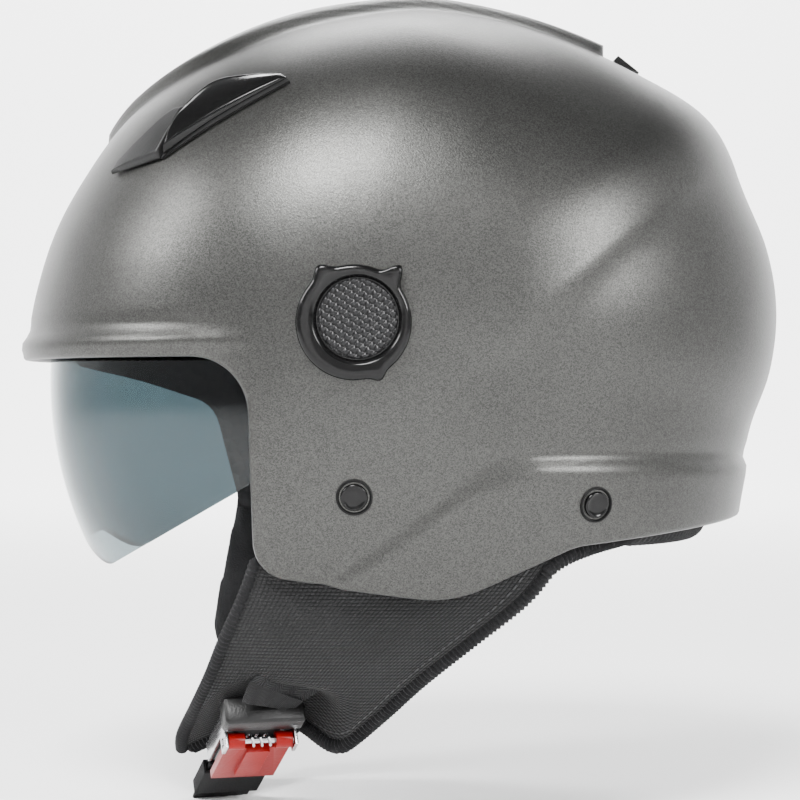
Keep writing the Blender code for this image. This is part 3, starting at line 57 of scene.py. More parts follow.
# ---- Outer shell. Injection-moulded ABS, 3.2 mm thick, with a raised crown band that ends in a
# step at the rear, a rolled brow, and a flared lower edge. It is sprayed in matt metallic
# gunmetal, whose fine flakes show close up. Everything else is fixed to it.
HALF_WIDTH = 0.118
WALL = 0.0032
ROUND_ALONG = 2.4
SIDE_REACH = 0.30
LEFT, RIGHT = -1.0, 1.0
SIDES = {"left": LEFT, "right": RIGHT}
OUTLINE = [
    (0.1569, 0.0080), (0.1535, 0.0300), (0.1455, 0.0500), (0.1311, 0.0785),
    (0.1040, 0.0970), (0.0783, 0.1090), (0.0500, 0.1175), (0.0236, 0.1215),
    (0.0000, 0.1200), (-0.0274, 0.1145), (-0.0498, 0.1055), (-0.0707, 0.0930),
    (-0.0882, 0.0780), (-0.1022, 0.0590), (-0.1136, 0.0384), (-0.1212, 0.0150),
    (-0.1255, -0.0080), (-0.1270, -0.0550), (-0.1130, -0.1200), (-0.0600, -0.1720),
    (0.0150, -0.1880), (0.0950, -0.1600), (0.1350, -0.0950), (0.1415, -0.0620),
    (0.1470, -0.0360), (0.1545, -0.0145),
]
SHELL_CUT = [
    (-SIDE_REACH, -0.0085, 0.0), (-0.0345, -0.0095, 0.021), (-0.0325, -0.0835, 0.011),
    (0.0320, -0.0920, 0.040), (0.0740, -0.0735, 0.025), (0.1400, -0.0665, 0.0),
    (SIDE_REACH, -0.0620, 0.0), (SIDE_REACH, -0.40, 0.0), (-SIDE_REACH, -0.40, 0.0),
]
KNOTS = sorted((math.atan2(z, x) % math.tau, math.hypot(x, z)) for x, z in OUTLINE)


def mix(low, high, share):
    """The value that lies the given share of the way from low to high."""
    return low + (high - low) * share


def ease(start, end, value):
    """0 before start, 1 after end, with a smooth rise between."""
    share = min(1.0, max(0.0, (value - start) / (end - start)))
    return share * share * (3.0 - 2.0 * share)


def bump(value, centre, width):
    """A soft hill of height 1 about centre."""
    return math.exp(-((value - centre) / width) ** 2)


def outline_radius(angle):
    """Distance from the knob axis to the shell's outline, by a smooth closed curve."""
    angle %= math.tau
    index = sum(1 for knot in KNOTS if knot[0] <= angle) - 1
    near = []
    for offset in (-1, 0, 1, 2):
        turn, place = divmod(index + offset, len(KNOTS))
        near.append((KNOTS[place][0] + turn * math.tau, KNOTS[place][1]))
    (a0, r0), (a1, r1), (a2, r2), (a3, r3) = near
    span = a2 - a1
    t = (angle - a1) / span
    slope_in = (r2 - r0) / (a2 - a0) * span
    slope_out = (r3 - r1) / (a3 - a1) * span
    return ((2 * t ** 3 - 3 * t ** 2 + 1) * r1 + (t ** 3 - 2 * t ** 2 + t) * slope_in
            + (3 * t ** 2 - 2 * t ** 3) * r2 + (t ** 3 - t ** 2) * slope_out)


def half_width_at(x, z, inset=0.0):
    """How far out the surface lies at a place in the side view."""
    share = math.hypot(x, z) / (outline_radius(math.atan2(z, x)) - inset)
    return (HALF_WIDTH - inset) * math.sqrt(max(0.0, 1.0 - share ** ROUND_ALONG))


def side_point(x, z, side, inset=0.0):
    """A point on the surface, named by its place in the side view."""
    return Vector((x, side * half_width_at(x, z, inset), z))


def side_normal(x, z, side):
    """The outward direction of the surface at a place in the side view."""
    step = 0.001
    here = side_point(x, z, side)
    back = side_point(x + step, z, side) - here
    up = side_point(x, z + step, side) - here
    return (up.cross(back) * side).normalized()


def round_corners(outline, steps=10):
    """An outline of (x, z, radius) with each corner turned into an arc."""
    points = []
    for index, (x, z, radius) in enumerate(outline):
        corner = Vector((x, z))
        if radius == 0.0:
            points.append(corner)
            continue
        before = (Vector(outline[index - 1][:2]) - corner).normalized()
        after = (Vector(outline[(index + 1) % len(outline)][:2]) - corner).normalized()
        half = before.angle(after) / 2.0
        centre = corner + (before + after).normalized() * radius / math.sin(half)
        first = corner + before * radius / math.tan(half) - centre
        turn = first.angle_signed(corner + after * radius / math.tan(half) - centre)
        for step in range(steps + 1):
            spoke = first.copy()
            spoke.rotate(Matrix.Rotation(-turn * step / steps, 2))
            points.append(centre + spoke)
    return points


def nearest_on_line(line, x, z):
    """Distance from (x, z) to a line of points, positive on its right-hand side."""
    best, signed = 1e9, 0.0
    for (ax, az), (bx, bz) in zip(line, line[1:]):
        dx, dz = bx - ax, bz - az
        t = min(1.0, max(0.0, ((x - ax) * dx + (z - az) * dz) / (dx * dx + dz * dz)))
        ox, oz = x - ax - dx * t, z - az - dz * t
        gap = ox * ox + oz * oz
        if gap < best:
            best = gap
            signed = math.copysign(1.0, ox * dz - oz * dx)
    return math.sqrt(best) * signed


def add_piece(name, builder, surface, body, smooth_angle=40.0):
    """Makes a finished piece of a bmesh and lets it ride on its body."""
    bmesh.ops.recalc_face_normals(builder, faces=builder.faces)
    mesh = bpy.data.meshes.new(name)
    builder.to_mesh(mesh)
    builder.free()
    mesh.shade_smooth()
    mesh.set_sharp_from_angle(angle=math.radians(smooth_angle))
    mesh.materials.append(surface)
    piece = bpy.data.objects.new(name, mesh)
    bpy.context.scene.collection.objects.link(piece)
    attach(piece, body)
    return piece


# An edge that the cut line crosses this near to an end has that end moved on to the line.
SNAP = 0.35
RIM_STEPS = 5


def trimmed_dome(segments, rings, inset, cut, relief, wall):
    """A moulded bowl: the dome above a cut line, with a wall and a rolled rim.

    It also gives the edges of the rim, each as its two ends and the outward direction.
    """
    builder = bmesh.new()
    bmesh.ops.create_uvsphere(builder, u_segments=segments, v_segments=rings, radius=1.0)
    bmesh.ops.rotate(builder, verts=builder.verts, matrix=Matrix.Rotation(math.radians(90.0), 3, "X"))
    radii = {}
    for vertex in builder.verts:
        x, y, z = vertex.co
        share = math.hypot(x, z)
        angle = math.atan2(z, x)
        key = round(angle, 5)
        if key not in radii:
            radii[key] = outline_radius(angle) - inset
        across = math.sqrt(max(0.0, 1.0 - min(1.0, share) ** ROUND_ALONG))
        radius = radii[key] * min(1.0, share)
        vertex.co = (radius * math.cos(angle), math.copysign(across * (HALF_WIDTH - inset), y),
                     radius * math.sin(angle))
    line = round_corners(cut)[:-2]
    clear = {v: -nearest_on_line(line, v.co.x, v.co.z) for v in builder.verts}
    for edge in builder.edges:
        a, b = edge.verts
        if clear[a] * clear[b] < 0.0:
            t = clear[a] / (clear[a] - clear[b])
            if not SNAP < t < 1.0 - SNAP:
                mover, other = (a, b) if t < SNAP else (b, a)
                mover.co = mover.co.lerp(other.co, t if t < SNAP else 1.0 - t)
                clear[mover] = 0.0
    for edge in list(builder.edges):
        a, b = edge.verts
        if clear[a] * clear[b] < 0.0:
            t = clear[a] / (clear[a] - clear[b])
            _, made = bmesh.utils.edge_split(edge, a, t)
            clear[made] = 0.0
    for face in list(builder.faces):
        values = [clear[v] for v in face.verts]
        if min(values) < 0.0 < max(values):
            on_line = [v for v in face.verts if clear[v] == 0.0]
            if len(on_line) >= 2:
                pair = max(((p, q) for p in on_line for q in on_line if p != q),
                           key=lambda two: (two[0].co - two[1].co).length)
                if not any(set(pair) == set(edge.verts) for edge in face.edges):
                    bmesh.utils.face_split(face, *pair)
    doomed = [f for f in builder.faces if sum(clear[v] for v in f.verts) <= 0.0]
    bmesh.ops.delete(builder, geom=doomed, context="FACES")
    builder.normal_update()
    shifts = {v: relief(v.co, math.atan2(v.co.z, v.co.x) % math.tau) for v in builder.verts}
    normals = {v: v.normal.copy() for v in builder.verts}
    for vertex, (shift, lift) in shifts.items():
        if normals[vertex].dot(vertex.co) < 0.0:
            normals[vertex].negate()
        spoke = Vector((vertex.co.x, 0.0, vertex.co.z)).normalized()
        vertex.co += normals[vertex] * shift + spoke * lift
    rim = [e for e in builder.edges if e.is_boundary]
    outward = {}
    for edge in rim:
        a, b = edge.verts
        middle = (a.co + b.co) / 2.0
        away = (b.co - a.co).cross(normals[a])
        if away.dot(middle - edge.link_faces[0].calc_center_median()) < 0.0:
            away.negate()
        for vertex in (a, b):
            outward[vertex] = outward.get(vertex, Vector()) + away.normalized()
    copied = bmesh.ops.duplicate(builder, geom=builder.verts[:] + builder.edges[:] + builder.faces[:])
    inner = copied["vert_map"]
    for vertex, normal in normals.items():
        inner[vertex].co = vertex.co - normal * wall(vertex.co)
    arcs = {}
    for vertex, away in outward.items():
        half = (vertex.co - inner[vertex].co) / 2.0
        away = away.normalized() * half.length
        middle = (vertex.co + inner[vertex].co) / 2.0
        turns = [math.pi * k / RIM_STEPS for k in range(1, RIM_STEPS)]
        between_walls = [builder.verts.new(middle + half * math.cos(t) + away * math.sin(t)) for t in turns]
        arcs[vertex] = [vertex] + between_walls + [inner[vertex]]
    for edge in rim:
        a, b = edge.verts
        for k in range(RIM_STEPS):
            builder.faces.new((arcs[a][k], arcs[b][k], arcs[b][k + 1], arcs[a][k + 1]))
    return builder, [[v.co.copy() for v in edge.verts] + [normals[edge.verts[0]]] for edge in rim]


# The sculpting of the shell. The band's angles and the two lines are in the side view.
BAND_RAISE, BAND_FLANK = 0.0040, 0.0044
BAND_HALF_WIDTH = {"rear": 0.022, "wide": 0.042}
BAND_FRONT = math.radians(143.0)
BAND_REAR = math.radians(48.5)
BAND_WIDE = math.radians(112.0)
FLARE_RAISE, CREASE_RAISE, BROW_RAISE = 0.0022, 0.0019, 0.0018
FLARE_LINE = [(-0.0120, -0.0880), (0.0152, -0.0690), (0.0366, -0.0530), (0.0493, -0.0468),
              (0.0599, -0.0445), (0.0978, -0.0446), (0.1600, -0.0462)]
CREASE_LINE = [(0.0300, -0.0180), (0.0443, -0.0080), (0.0800, 0.0240), (0.1205, 0.0560), (0.1400, 0.0640)]


def shell_relief(place, angle):
    """How far the sculpting moves a point, along the normal and straight out from the knob axis."""
    shift, lift = 0.0, 0.0
    if BAND_REAR < angle < BAND_FRONT:
        wide = mix(BAND_HALF_WIDTH["rear"], BAND_HALF_WIDTH["wide"], ease(BAND_REAR, BAND_WIDE, angle))
        half = wide * math.sqrt(ease(BAND_FRONT, BAND_WIDE, angle))
        lift = BAND_RAISE * ease(half + BAND_FLANK, half - BAND_FLANK, abs(place.y))
    if place.z < 0.0 and place.x > -0.03:
        below = nearest_on_line(FLARE_LINE, place.x, place.z)
        shift += FLARE_RAISE * ease(0.0, 0.0050, below)
        shift -= 0.0006 * bump(below, -0.0006, 0.0016)
    if place.x > 0.02:
        off = nearest_on_line(CREASE_LINE, place.x, place.z)
        fade = ease(0.025, 0.060, place.x) * ease(0.150, 0.115, place.x)
        shift += CREASE_RAISE * fade * (bump(off, 0.0, 0.022) if off < 0.0 else bump(off, 0.0, 0.0065))
    brow = ease(-0.030, -0.060, place.x)
    shift += BROW_RAISE * brow * bump(place.z, -0.0058, 0.0030)
    shift -= 0.0005 * brow * bump(place.z, 0.0010, 0.0022)
    return shift, lift


def node_of(tree, kind, inputs=None, **settings):
    """Adds a shader node, sets it up, and links or fills its inputs."""
    made = tree.nodes.new(kind)
    for name, value in settings.items():
        setattr(made, name, value)
    for key, value in (inputs or {}).items():
        if isinstance(value, bpy.types.NodeSocket):
            tree.links.new(value, made.inputs[key])
        else:
            made.inputs[key].default_value = value
    return made


def maths(tree, operation, *values):
    """The result of a Math node."""
    return node_of(tree, "ShaderNodeMath", dict(enumerate(values)), operation=operation).outputs[0]


def between(tree, factor, low, high):
    """A colour that goes from low to high with the factor."""
    made = node_of(tree, "ShaderNodeMix", {0: factor, 6: (*low, 1.0), 7: (*high, 1.0)}, data_type="RGBA")
    return made.outputs[2]


def ranged(tree, value, low, high, start=0.0, end=1.0):
    """A value stretched from start..end to low..high."""
    keys = {"Value": value, "From Min": start, "From Max": end, "To Min": low, "To Max": high}
    return node_of(tree, "ShaderNodeMapRange", keys).outputs[0]


def new_group(name, inputs, outputs):
    """An empty shader node group with its sockets, and its input and output nodes."""
    tree = bpy.data.node_groups.new(name, "ShaderNodeTree")
    for label, kind, value in inputs:
        socket = tree.interface.new_socket(label, in_out="INPUT", socket_type=kind)
        if value is not None:
            socket.default_value = value
    for label, kind in outputs:
        tree.interface.new_socket(label, in_out="OUTPUT", socket_type=kind)
    return tree, tree.nodes.new("NodeGroupInput"), tree.nodes.new("NodeGroupOutput")


FLOAT, VECTOR = "NodeSocketFloat", "NodeSocketVector"

# Fine grain: small random relief, and a slow blotch that roughness and colour follow.
grain, grain_in, grain_out = new_group(
    "fine_grain", [("Vector", VECTOR, None), ("Scale", FLOAT, 900.0), ("Depth", FLOAT, 0.0002),
                   ("Blotch", FLOAT, 40.0)], [("Normal", VECTOR), ("Speck", FLOAT), ("Blotch", FLOAT)])
speck = node_of(grain, "ShaderNodeTexNoise", {"Vector": grain_in.outputs[0], "Scale": grain_in.outputs[1],
                                              "Detail": 2.0})
slow = node_of(grain, "ShaderNodeTexNoise", {"Vector": grain_in.outputs[0], "Scale": grain_in.outputs[3],
                                             "Detail": 5.0})
relief_node = node_of(grain, "ShaderNodeBump", {"Height": speck.outputs[0], "Distance": grain_in.outputs[2],
                                                "Strength": 1.0})
grain.links.new(relief_node.outputs[0], grain_out.inputs[0])
grain.links.new(speck.outputs[0], grain_out.inputs[1])
grain.links.new(slow.outputs[0], grain_out.inputs[2])


def plain_material(name, metallic=0.0, roughness=0.5, sheen=0.0, ior=1.5, clear=0.0):
    """A material, its node tree, its shader, and its texture coordinates."""
    made = bpy.data.materials.new(name)
    made.use_nodes = True
    tree = made.node_tree
    shader = tree.nodes["Principled BSDF"]
    for key, value in (("Metallic", metallic), ("Roughness", roughness), ("Sheen Weight", sheen),
                       ("IOR", ior), ("Transmission Weight", clear)):
        shader.inputs[key].default_value = value
    return made, tree, shader, node_of(tree, "ShaderNodeTexCoord")


def place_group(tree, group, inputs):
    """Puts a node group in a material."""
    return node_of(tree, "ShaderNodeGroup", inputs, node_tree=group)


def finish_with(tree, shader, colour, normal, roughness=None):
    """Links what varies over a surface to its shader."""
    for key, value in (("Base Color", colour), ("Normal", normal), ("Roughness", roughness)):
        if value is not None:
            tree.links.new(value, shader.inputs[key])


def grained(name, low, high, roughness, scale=900.0, depth=0.0002, blotch=40.0, **finish):
    """A moulded or painted finish: two close colours, a fine grain and a varying roughness."""
    made, tree, shader, coordinates = plain_material(name, roughness=roughness, **finish)
    fine = place_group(tree, grain, {"Vector": coordinates.outputs["Object"], "Scale": scale,
                                     "Depth": depth, "Blotch": blotch})
    finish_with(tree, shader, between(tree, fine.outputs[1], low, high), fine.outputs[0],
                ranged(tree, fine.outputs[2], roughness * 0.85, roughness * 1.15, 0.3, 0.7))
    return made


gunmetal, tree, shader, coordinates = plain_material("gunmetal_paint", metallic=0.88, roughness=0.37)
flake = node_of(tree, "ShaderNodeTexVoronoi", {"Vector": coordinates.outputs["Object"], "Scale": 3200.0})
flake_tone = node_of(tree, "ShaderNodeSeparateColor", {0: flake.outputs["Color"]}).outputs[0]
fine = place_group(tree, grain, {"Vector": coordinates.outputs["Object"], "Scale": 1600.0,
                                 "Depth": 0.00006, "Blotch": 22.0})
finish_with(tree, shader, between(tree, flake_tone, (0.030, 0.030, 0.0285), (0.066, 0.066, 0.063)),
            fine.outputs[0], ranged(tree, fine.outputs[2], 0.34, 0.40, 0.3, 0.7))

builder, shell_rim = trimmed_dome(320, 160, 0.0, SHELL_CUT, shell_relief, lambda place: WALL)
shell = add_piece("painted_shell", builder, gunmetal, "helmet", 50.0)
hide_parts("outer_shell")


# ---- Foam liner. Moulded bead foam, black, glued in place by the pads' press studs. It takes the
# crash; the visor slides in the slot between it and the shell. Its beads show at its edges.
foam, tree, shader, coordinates = plain_material("bead_foam", roughness=0.82, ior=1.25)
beads = node_of(tree, "ShaderNodeTexVoronoi", {"Vector": coordinates.outputs["Object"], "Scale": 260.0})
bead_depth = node_of(tree, "ShaderNodeBump", {"Height": beads.outputs["Distance"], "Distance": 0.0008})
bead_depth.invert = True
# The colour darkens from each bead's middle to its rim, where the relief sinks: painted shade in the hollows
# between the beads.
bead_painted_shade = between(tree, beads.outputs["Distance"], (0.009, 0.009, 0.010), (0.003, 0.003, 0.003))
finish_with(tree, shader, bead_painted_shade, bead_depth.outputs[0])


def give(surface, *names):
    """Gives CAD nodes, whose shape is right, their finished material."""
    for name in names:
        mesh = nodes[name].data
        mesh.materials.clear()
        mesh.materials.append(surface)


give(foam, "eps_liner")


# ---- Side knobs. Gloss black moulded rings with three ears for the fingers, and in each a round
# insert with a woven-look face. A screw holds the knob to the pinion shaft that drives the visor.
KNOB_RADIUS, KNOB_ROUNDING, KNOB_ROUNDING_STEPS = 0.0191, 0.0018, 6
KNOB_BACK, KNOB_FLOOR, KNOB_TOP = 0.1165, 0.1185, 0.1255
# Each ear: where it stands in degrees, how far it rises, and how many degrees it spreads over.
KNOB_EARS = [(122.0, 0.0030, 9.0), (50.0, 0.0052, 8.0), (-65.0, 0.0020, 7.0)]
# Radius and y of the rings that step down into the knob's bowl, and of those of its insert.
KNOB_BOWL = [(0.0153, KNOB_TOP - 0.0001), (0.0148, KNOB_TOP - 0.0004), (0.0142, 0.1244), (0.0139, 0.1239),
             (0.0136, 0.1233)]
KNOB_INSERT = [(0.0132, 0.1230), (0.0132, 0.1240), (0.0128, 0.1244), (0.0120, 0.1243), (0.0060, 0.1246),
               (0.0002, 0.1247)]
INSERT_SHIFT = (0.0013, 0.0012)


def knob_edge(turn, shrink):
    """A point of the knob's edge in the side view."""
    radius = KNOB_RADIUS - shrink
    for ear, rise, spread in KNOB_EARS:
        off = (turn - math.radians(ear) + math.pi) % math.tau - math.pi
        radius += rise * math.exp(-(off / math.radians(spread)) ** 2)
    return radius * math.cos(turn), radius * math.sin(turn)


def round_edge(radius, centre=(0.0, 0.0)):
    """The points of a round ring, as a function of the turn."""
    return lambda turn: (centre[0] + radius * math.cos(turn), centre[1] + radius * math.sin(turn))


def ring_stack(rings, count, side=1.0):
    """A closed piece about the y axis: rings of (edge function, y) from one cap to the other."""
    builder = bmesh.new()
    layer = builder.verts.layers.float.new("turn")
    bmesh.ops.create_circle(builder, cap_ends=True, segments=count, radius=1.0)
    fresh = list(builder.verts)
    for index, vertex in enumerate(fresh):
        vertex[layer] = math.tau * index / count
    edges = list(builder.edges)
    for number, (edge_at, y) in enumerate(rings):
        if number:
            grown = bmesh.ops.extrude_edge_only(builder, edges=edges)["geom"]
            fresh = [g for g in grown if isinstance(g, bmesh.types.BMVert)]
            kept = set(fresh)
            edges = [g for g in grown if isinstance(g, bmesh.types.BMEdge) and kept.issuperset(g.verts)]
        for vertex in fresh:
            x, z = edge_at(vertex[layer])
            vertex.co = (x, side * y, z)
    bmesh.ops.holes_fill(builder, edges=edges, sides=0)
    builder.verts.layers.float.remove(layer)
    return builder


gloss_black = grained("gloss_black_plastic", (0.002, 0.002, 0.002), (0.004, 0.004, 0.004), 0.14,
                      scale=420.0, depth=0.000004, blotch=90.0, ior=1.27)
satin_black = grained("satin_black_plastic", (0.002, 0.002, 0.002), (0.005, 0.005, 0.005), 0.40,
                      scale=1500.0, depth=0.00010, ior=1.33)

# Basket weave: threads that go over and under each other in turn, with a little lint. Its second output is a
# colour mask that holds painted shade between the threads.
weave, weave_in, weave_out = new_group(
    "basket_weave", [("Vector", VECTOR, None), ("Pitch", FLOAT, 0.0016)],
    [("Height", FLOAT), ("Painted shade and lint", FLOAT)])
axes = node_of(weave, "ShaderNodeSeparateXYZ", {0: weave_in.outputs[0]})
across = maths(weave, "DIVIDE", axes.outputs[0], weave_in.outputs[1])
upward = maths(weave, "DIVIDE", axes.outputs[1], weave_in.outputs[1])
cells = maths(weave, "ADD", maths(weave, "FLOOR", across), maths(weave, "FLOOR", upward))
parity = maths(weave, "FLOORED_MODULO", cells, 2.0)
wave_across = maths(weave, "ABSOLUTE", maths(weave, "SINE", maths(weave, "MULTIPLY", across, math.pi)))
wave_up = maths(weave, "ABSOLUTE", maths(weave, "SINE", maths(weave, "MULTIPLY", upward, math.pi)))


def thread(profile, length):
    """The relief of one thread: round across, and dipping where it goes under."""
    return maths(weave, "MULTIPLY", maths(weave, "POWER", profile, 0.5),
                 maths(weave, "MULTIPLY_ADD", length, 0.65, 0.35))


over = maths(weave, "MULTIPLY", thread(wave_across, wave_up), maths(weave, "SUBTRACT", 1.0, parity))
under = maths(weave, "MULTIPLY", thread(wave_up, wave_across), parity)
relief_height = maths(weave, "ADD", over, under)
lint = node_of(weave, "ShaderNodeTexNoise", {"Vector": weave_in.outputs[0], "Scale": 1800.0, "Detail": 3.0})
weave.links.new(relief_height, weave_out.inputs[0])
# Colour mask: the relief height times a lint noise, so painted shade in the gaps between threads and painted
# highlight on their tops, with random lint.
weave.links.new(maths(weave, "MULTIPLY", relief_height, maths(weave, "ADD", lint.outputs[0], 0.45)),
                weave_out.inputs[1])

insert_face, tree, shader, coordinates = plain_material("woven_look_plastic", roughness=0.24, ior=1.24)
# The pattern is turned to lie in the insert's face, then by 33 degrees within it.
turned = node_of(tree, "ShaderNodeMapping", {"Vector": coordinates.outputs["Object"],
                                             "Rotation": (math.radians(-90.0), 0.0, 0.0)})
skewed = node_of(tree, "ShaderNodeMapping", {"Vector": turned.outputs[0],
                                             "Rotation": (0.0, 0.0, math.radians(33.0))})
knob_weave = place_group(tree, weave, {"Vector": skewed.outputs[0], "Pitch": 0.0021})
insert_relief = node_of(tree, "ShaderNodeBump", {"Height": knob_weave.outputs[0], "Distance": 0.0006})
# The colour follows the weave's relief: painted shade where the threads sink and dip under each other,
# painted highlight on their tops.
insert_painted_shade = between(tree, knob_weave.outputs[0], (0.0005, 0.0005, 0.0005), (0.012, 0.012, 0.0125))
finish_with(tree, shader, insert_painted_shade, insert_relief.outputs[0])

for label, side in SIDES.items():
    rings = [(lambda turn: knob_edge(turn, 0.0012), KNOB_BACK),
             (lambda turn: knob_edge(turn, 0.0), KNOB_FLOOR)]
    for step in range(KNOB_ROUNDING_STEPS + 1):
        angle = math.radians(90.0) * step / KNOB_ROUNDING_STEPS
        cut_back = KNOB_ROUNDING * (1.0 - math.cos(angle))
        rings.append((lambda turn, c=cut_back: knob_edge(turn, c),
                      KNOB_TOP - KNOB_ROUNDING * (1.0 - math.sin(angle))))
    rings += [(round_edge(radius, INSERT_SHIFT), y) for radius, y in KNOB_BOWL]
    knob = add_piece(f"knob_ring_{label}", ring_stack(rings, 160, side), gloss_black,
                     f"knob_{label}_body")
    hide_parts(f"knob_{label}")
    rings = [(round_edge(radius, INSERT_SHIFT), y) for radius, y in KNOB_INSERT]
    disc = add_piece(f"knob_disc_{label}", ring_stack(rings, 96, side), insert_face,
                     f"knob_{label}_body", 60.0)
    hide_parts(f"knob_insert_{label}")


# ---- Strap rivets. Black capped rivets in dished black seats; their shanks pass through the shell
# and the strap ends, and a steel plate behind each spreads the pull.
RIVETS = {"front": (0.0000, -0.0578), "rear": (0.0804, -0.0605)}
# Radius and height over the shell, from the back of each turned piece to its middle.
SEAT_PROFILE = [(0.0058, -0.0010), (0.0062, 0.0001), (0.0060, 0.0006), (0.0056, 0.0007), (0.0053, 0.0003),
                (0.0050, -0.0002), (0.0047, -0.0003)]
CAP_PROFILE = [(0.0022, -0.0184), (0.0022, -0.0008), (0.0045, -0.0006), (0.0046, 0.0004), (0.0044, 0.0009),
               (0.0040, 0.0012), (0.0037, 0.0011), (0.0035, 0.0009), (0.0020, 0.0010), (0.0002, 0.0011)]


def surface_frame(x, z, side):
    """A frame on the shell: its y axis points outwards and its z axis runs up the surface."""
    outward = side_normal(x, z, side)
    aside = outward.cross(Vector((0.0, 0.0, 1.0))).normalized()
    placed = Matrix((aside, outward, aside.cross(outward))).transposed().to_4x4()
    placed.translation = side_point(x, z, side)
    return placed


def turned_on(placed, profile):
    """A turned piece of the profile's radii and heights, standing on the shell."""
    builder = ring_stack([(round_edge(radius), y) for radius, y in profile], 64)
    builder.transform(placed)
    return builder


seat_black = grained("seat_rubber", (0.002, 0.002, 0.002), (0.004, 0.004, 0.004), 0.55,
                     scale=900.0, depth=0.00005, ior=1.25)
for label, side in SIDES.items():
    for place, (x, z) in RIVETS.items():
        placed = surface_frame(x, z, side)
        proud = shell_relief(placed.translation, 0.0)[0]
        placed.translation += placed.to_3x3() @ Vector((0.0, proud, 0.0))
        add_piece(f"rivet_seat_{place}_{label}", turned_on(placed, SEAT_PROFILE), seat_black, "helmet")
        cap = add_piece(f"rivet_cap_{place}_{label}", turned_on(placed, CAP_PROFILE), gloss_black, "helmet",
                        60.0)
        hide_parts(f"rivet_{place}_{label}")


# ---- Front air intakes. On each side a satin base is bonded to the shell; a gloss blade stands
# over it, and a dark wedge in front slides forward to close the hole.
BLADE_LOW = [(-0.0651, 0.0583), (-0.0479, 0.0704), (-0.0234, 0.0843)]
BLADE_HIGH = [(-0.0571, 0.0755), (-0.0472, 0.0852), (-0.0253, 0.0859)]
TRIM_LOW = [(-0.0664, 0.0571), (-0.0471, 0.0692), (-0.0225, 0.0833)]
WEDGE_LOW = [(-0.0853, 0.0535), (-0.0758, 0.0552), (-0.0668, 0.0572)]
WEDGE_HIGH = [(-0.0846, 0.0549), (-0.0645, 0.0736), (-0.0584, 0.0750)]


def slab(columns, rows, place, size=(1.0, 1.0)):
    """A closed sheet of two faces: place turns (u, v, outer) from -1..1 into a point.

    Its UV map holds u and v in metres, for a piece of the given size.
    """
    builder = bmesh.new()
    bmesh.ops.create_grid(builder, x_segments=columns, y_segments=rows, size=1.0)
    grown = bmesh.ops.extrude_face_region(builder, geom=builder.faces[:])["geom"]
    upper = {g for g in grown if isinstance(g, bmesh.types.BMVert)}
    flat = {v: (v.co.x, v.co.y) for v in builder.verts}
    uv = builder.loops.layers.uv.new("UVMap")
    for face in builder.faces:
        for loop in face.loops:
            u, v = flat[loop.vert]
            loop[uv].uv = (u * size[0] / 2.0, v * size[1] / 2.0)
    for vertex, (u, v) in flat.items():
        vertex.co = place(u, v, vertex in upper)
    return builder


def smooth_along(points, share):
    """The point at a share of the way along a line of points, on a smooth curve."""
    spot = min(0.99999, max(0.0, share)) * (len(points) - 1)
    index = int(spot)
    t = spot - index
    before, start = points[max(index - 1, 0)], points[index]
    end, after = points[index + 1], points[min(index + 2, len(points) - 1)]
    return type(start)(
        0.5 * (2 * b + (c - a) * t + (2 * a - 5 * b + 4 * c - d) * t ** 2 + (3 * b - a - 3 * c + d) * t ** 3)
        for a, b, c, d in zip(before, start, end, after))


def vent_patch(low, high, side, height):
    """The place function of a patch on the shell between two edge lines."""
    def place(u, v, upper):
        share_u, share_v = (u + 1.0) / 2.0, (v + 1.0) / 2.0
        start, end = smooth_along(low, share_u), smooth_along(high, share_u)
        x, z = mix(start[0], end[0], share_v), mix(start[1], end[1], share_v)
        top, bottom = height(share_u, share_v)
        return side_point(x, z, side) + side_normal(x, z, side) * (top if upper else bottom)
    return place


def blade_height(u, v):
    """The blade is high at its mouth and sinks to its tail; its edges are rounded over."""
    edge = min(1.0, 16.0 * min(v, 1.0 - v, u + 0.01, 1.0 - u))
    crown = 0.62 + 0.38 * math.sin(math.pi * min(1.0, v * 1.15))
    return 0.0015 + (mix(0.0042, 0.0010, u) * crown) * math.sqrt(max(0.02, edge)), 0.0015


def wedge_height(u, v):
    """The wedge rises towards the blade's mouth."""
    edge = min(1.0, 14.0 * min(v, 1.0 - v, u, 1.0 - u))
    return 0.0009 + mix(0.0016, 0.0030, u) * math.sqrt(max(0.03, edge)), 0.0009


for label, side in SIDES.items():
    base = add_piece(f"intake_base_{label}", slab(48, 16, vent_patch(
        TRIM_LOW, BLADE_HIGH, side, lambda u, v: (0.0013, 0.0003))), satin_black, "helmet")
    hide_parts(f"vent_base_{label}")
    blade = add_piece(f"intake_blade_{label}", slab(64, 40, vent_patch(
        BLADE_LOW, BLADE_HIGH, side, blade_height)), gloss_black, "helmet", 50.0)
    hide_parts(f"vent_blade_{label}")
    wedge = add_piece(f"intake_wedge_{label}", slab(48, 32, vent_patch(
        WEDGE_LOW, WEDGE_HIGH, side, wedge_height)), satin_black, f"intake_{label}", 50.0)
    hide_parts(f"vent_slider_{label}")


# ---- Rear exhaust. A satin black moulding under the step of the crown band. Its cross slats let the
# warm air out; it is bonded into the shell.
EXHAUST_HALF_LENGTH, EXHAUST_SLATS = 0.0185, 9.0
EXHAUST_START, EXHAUST_SPAN = BAND_REAR - math.radians(1.68), math.radians(4.0)


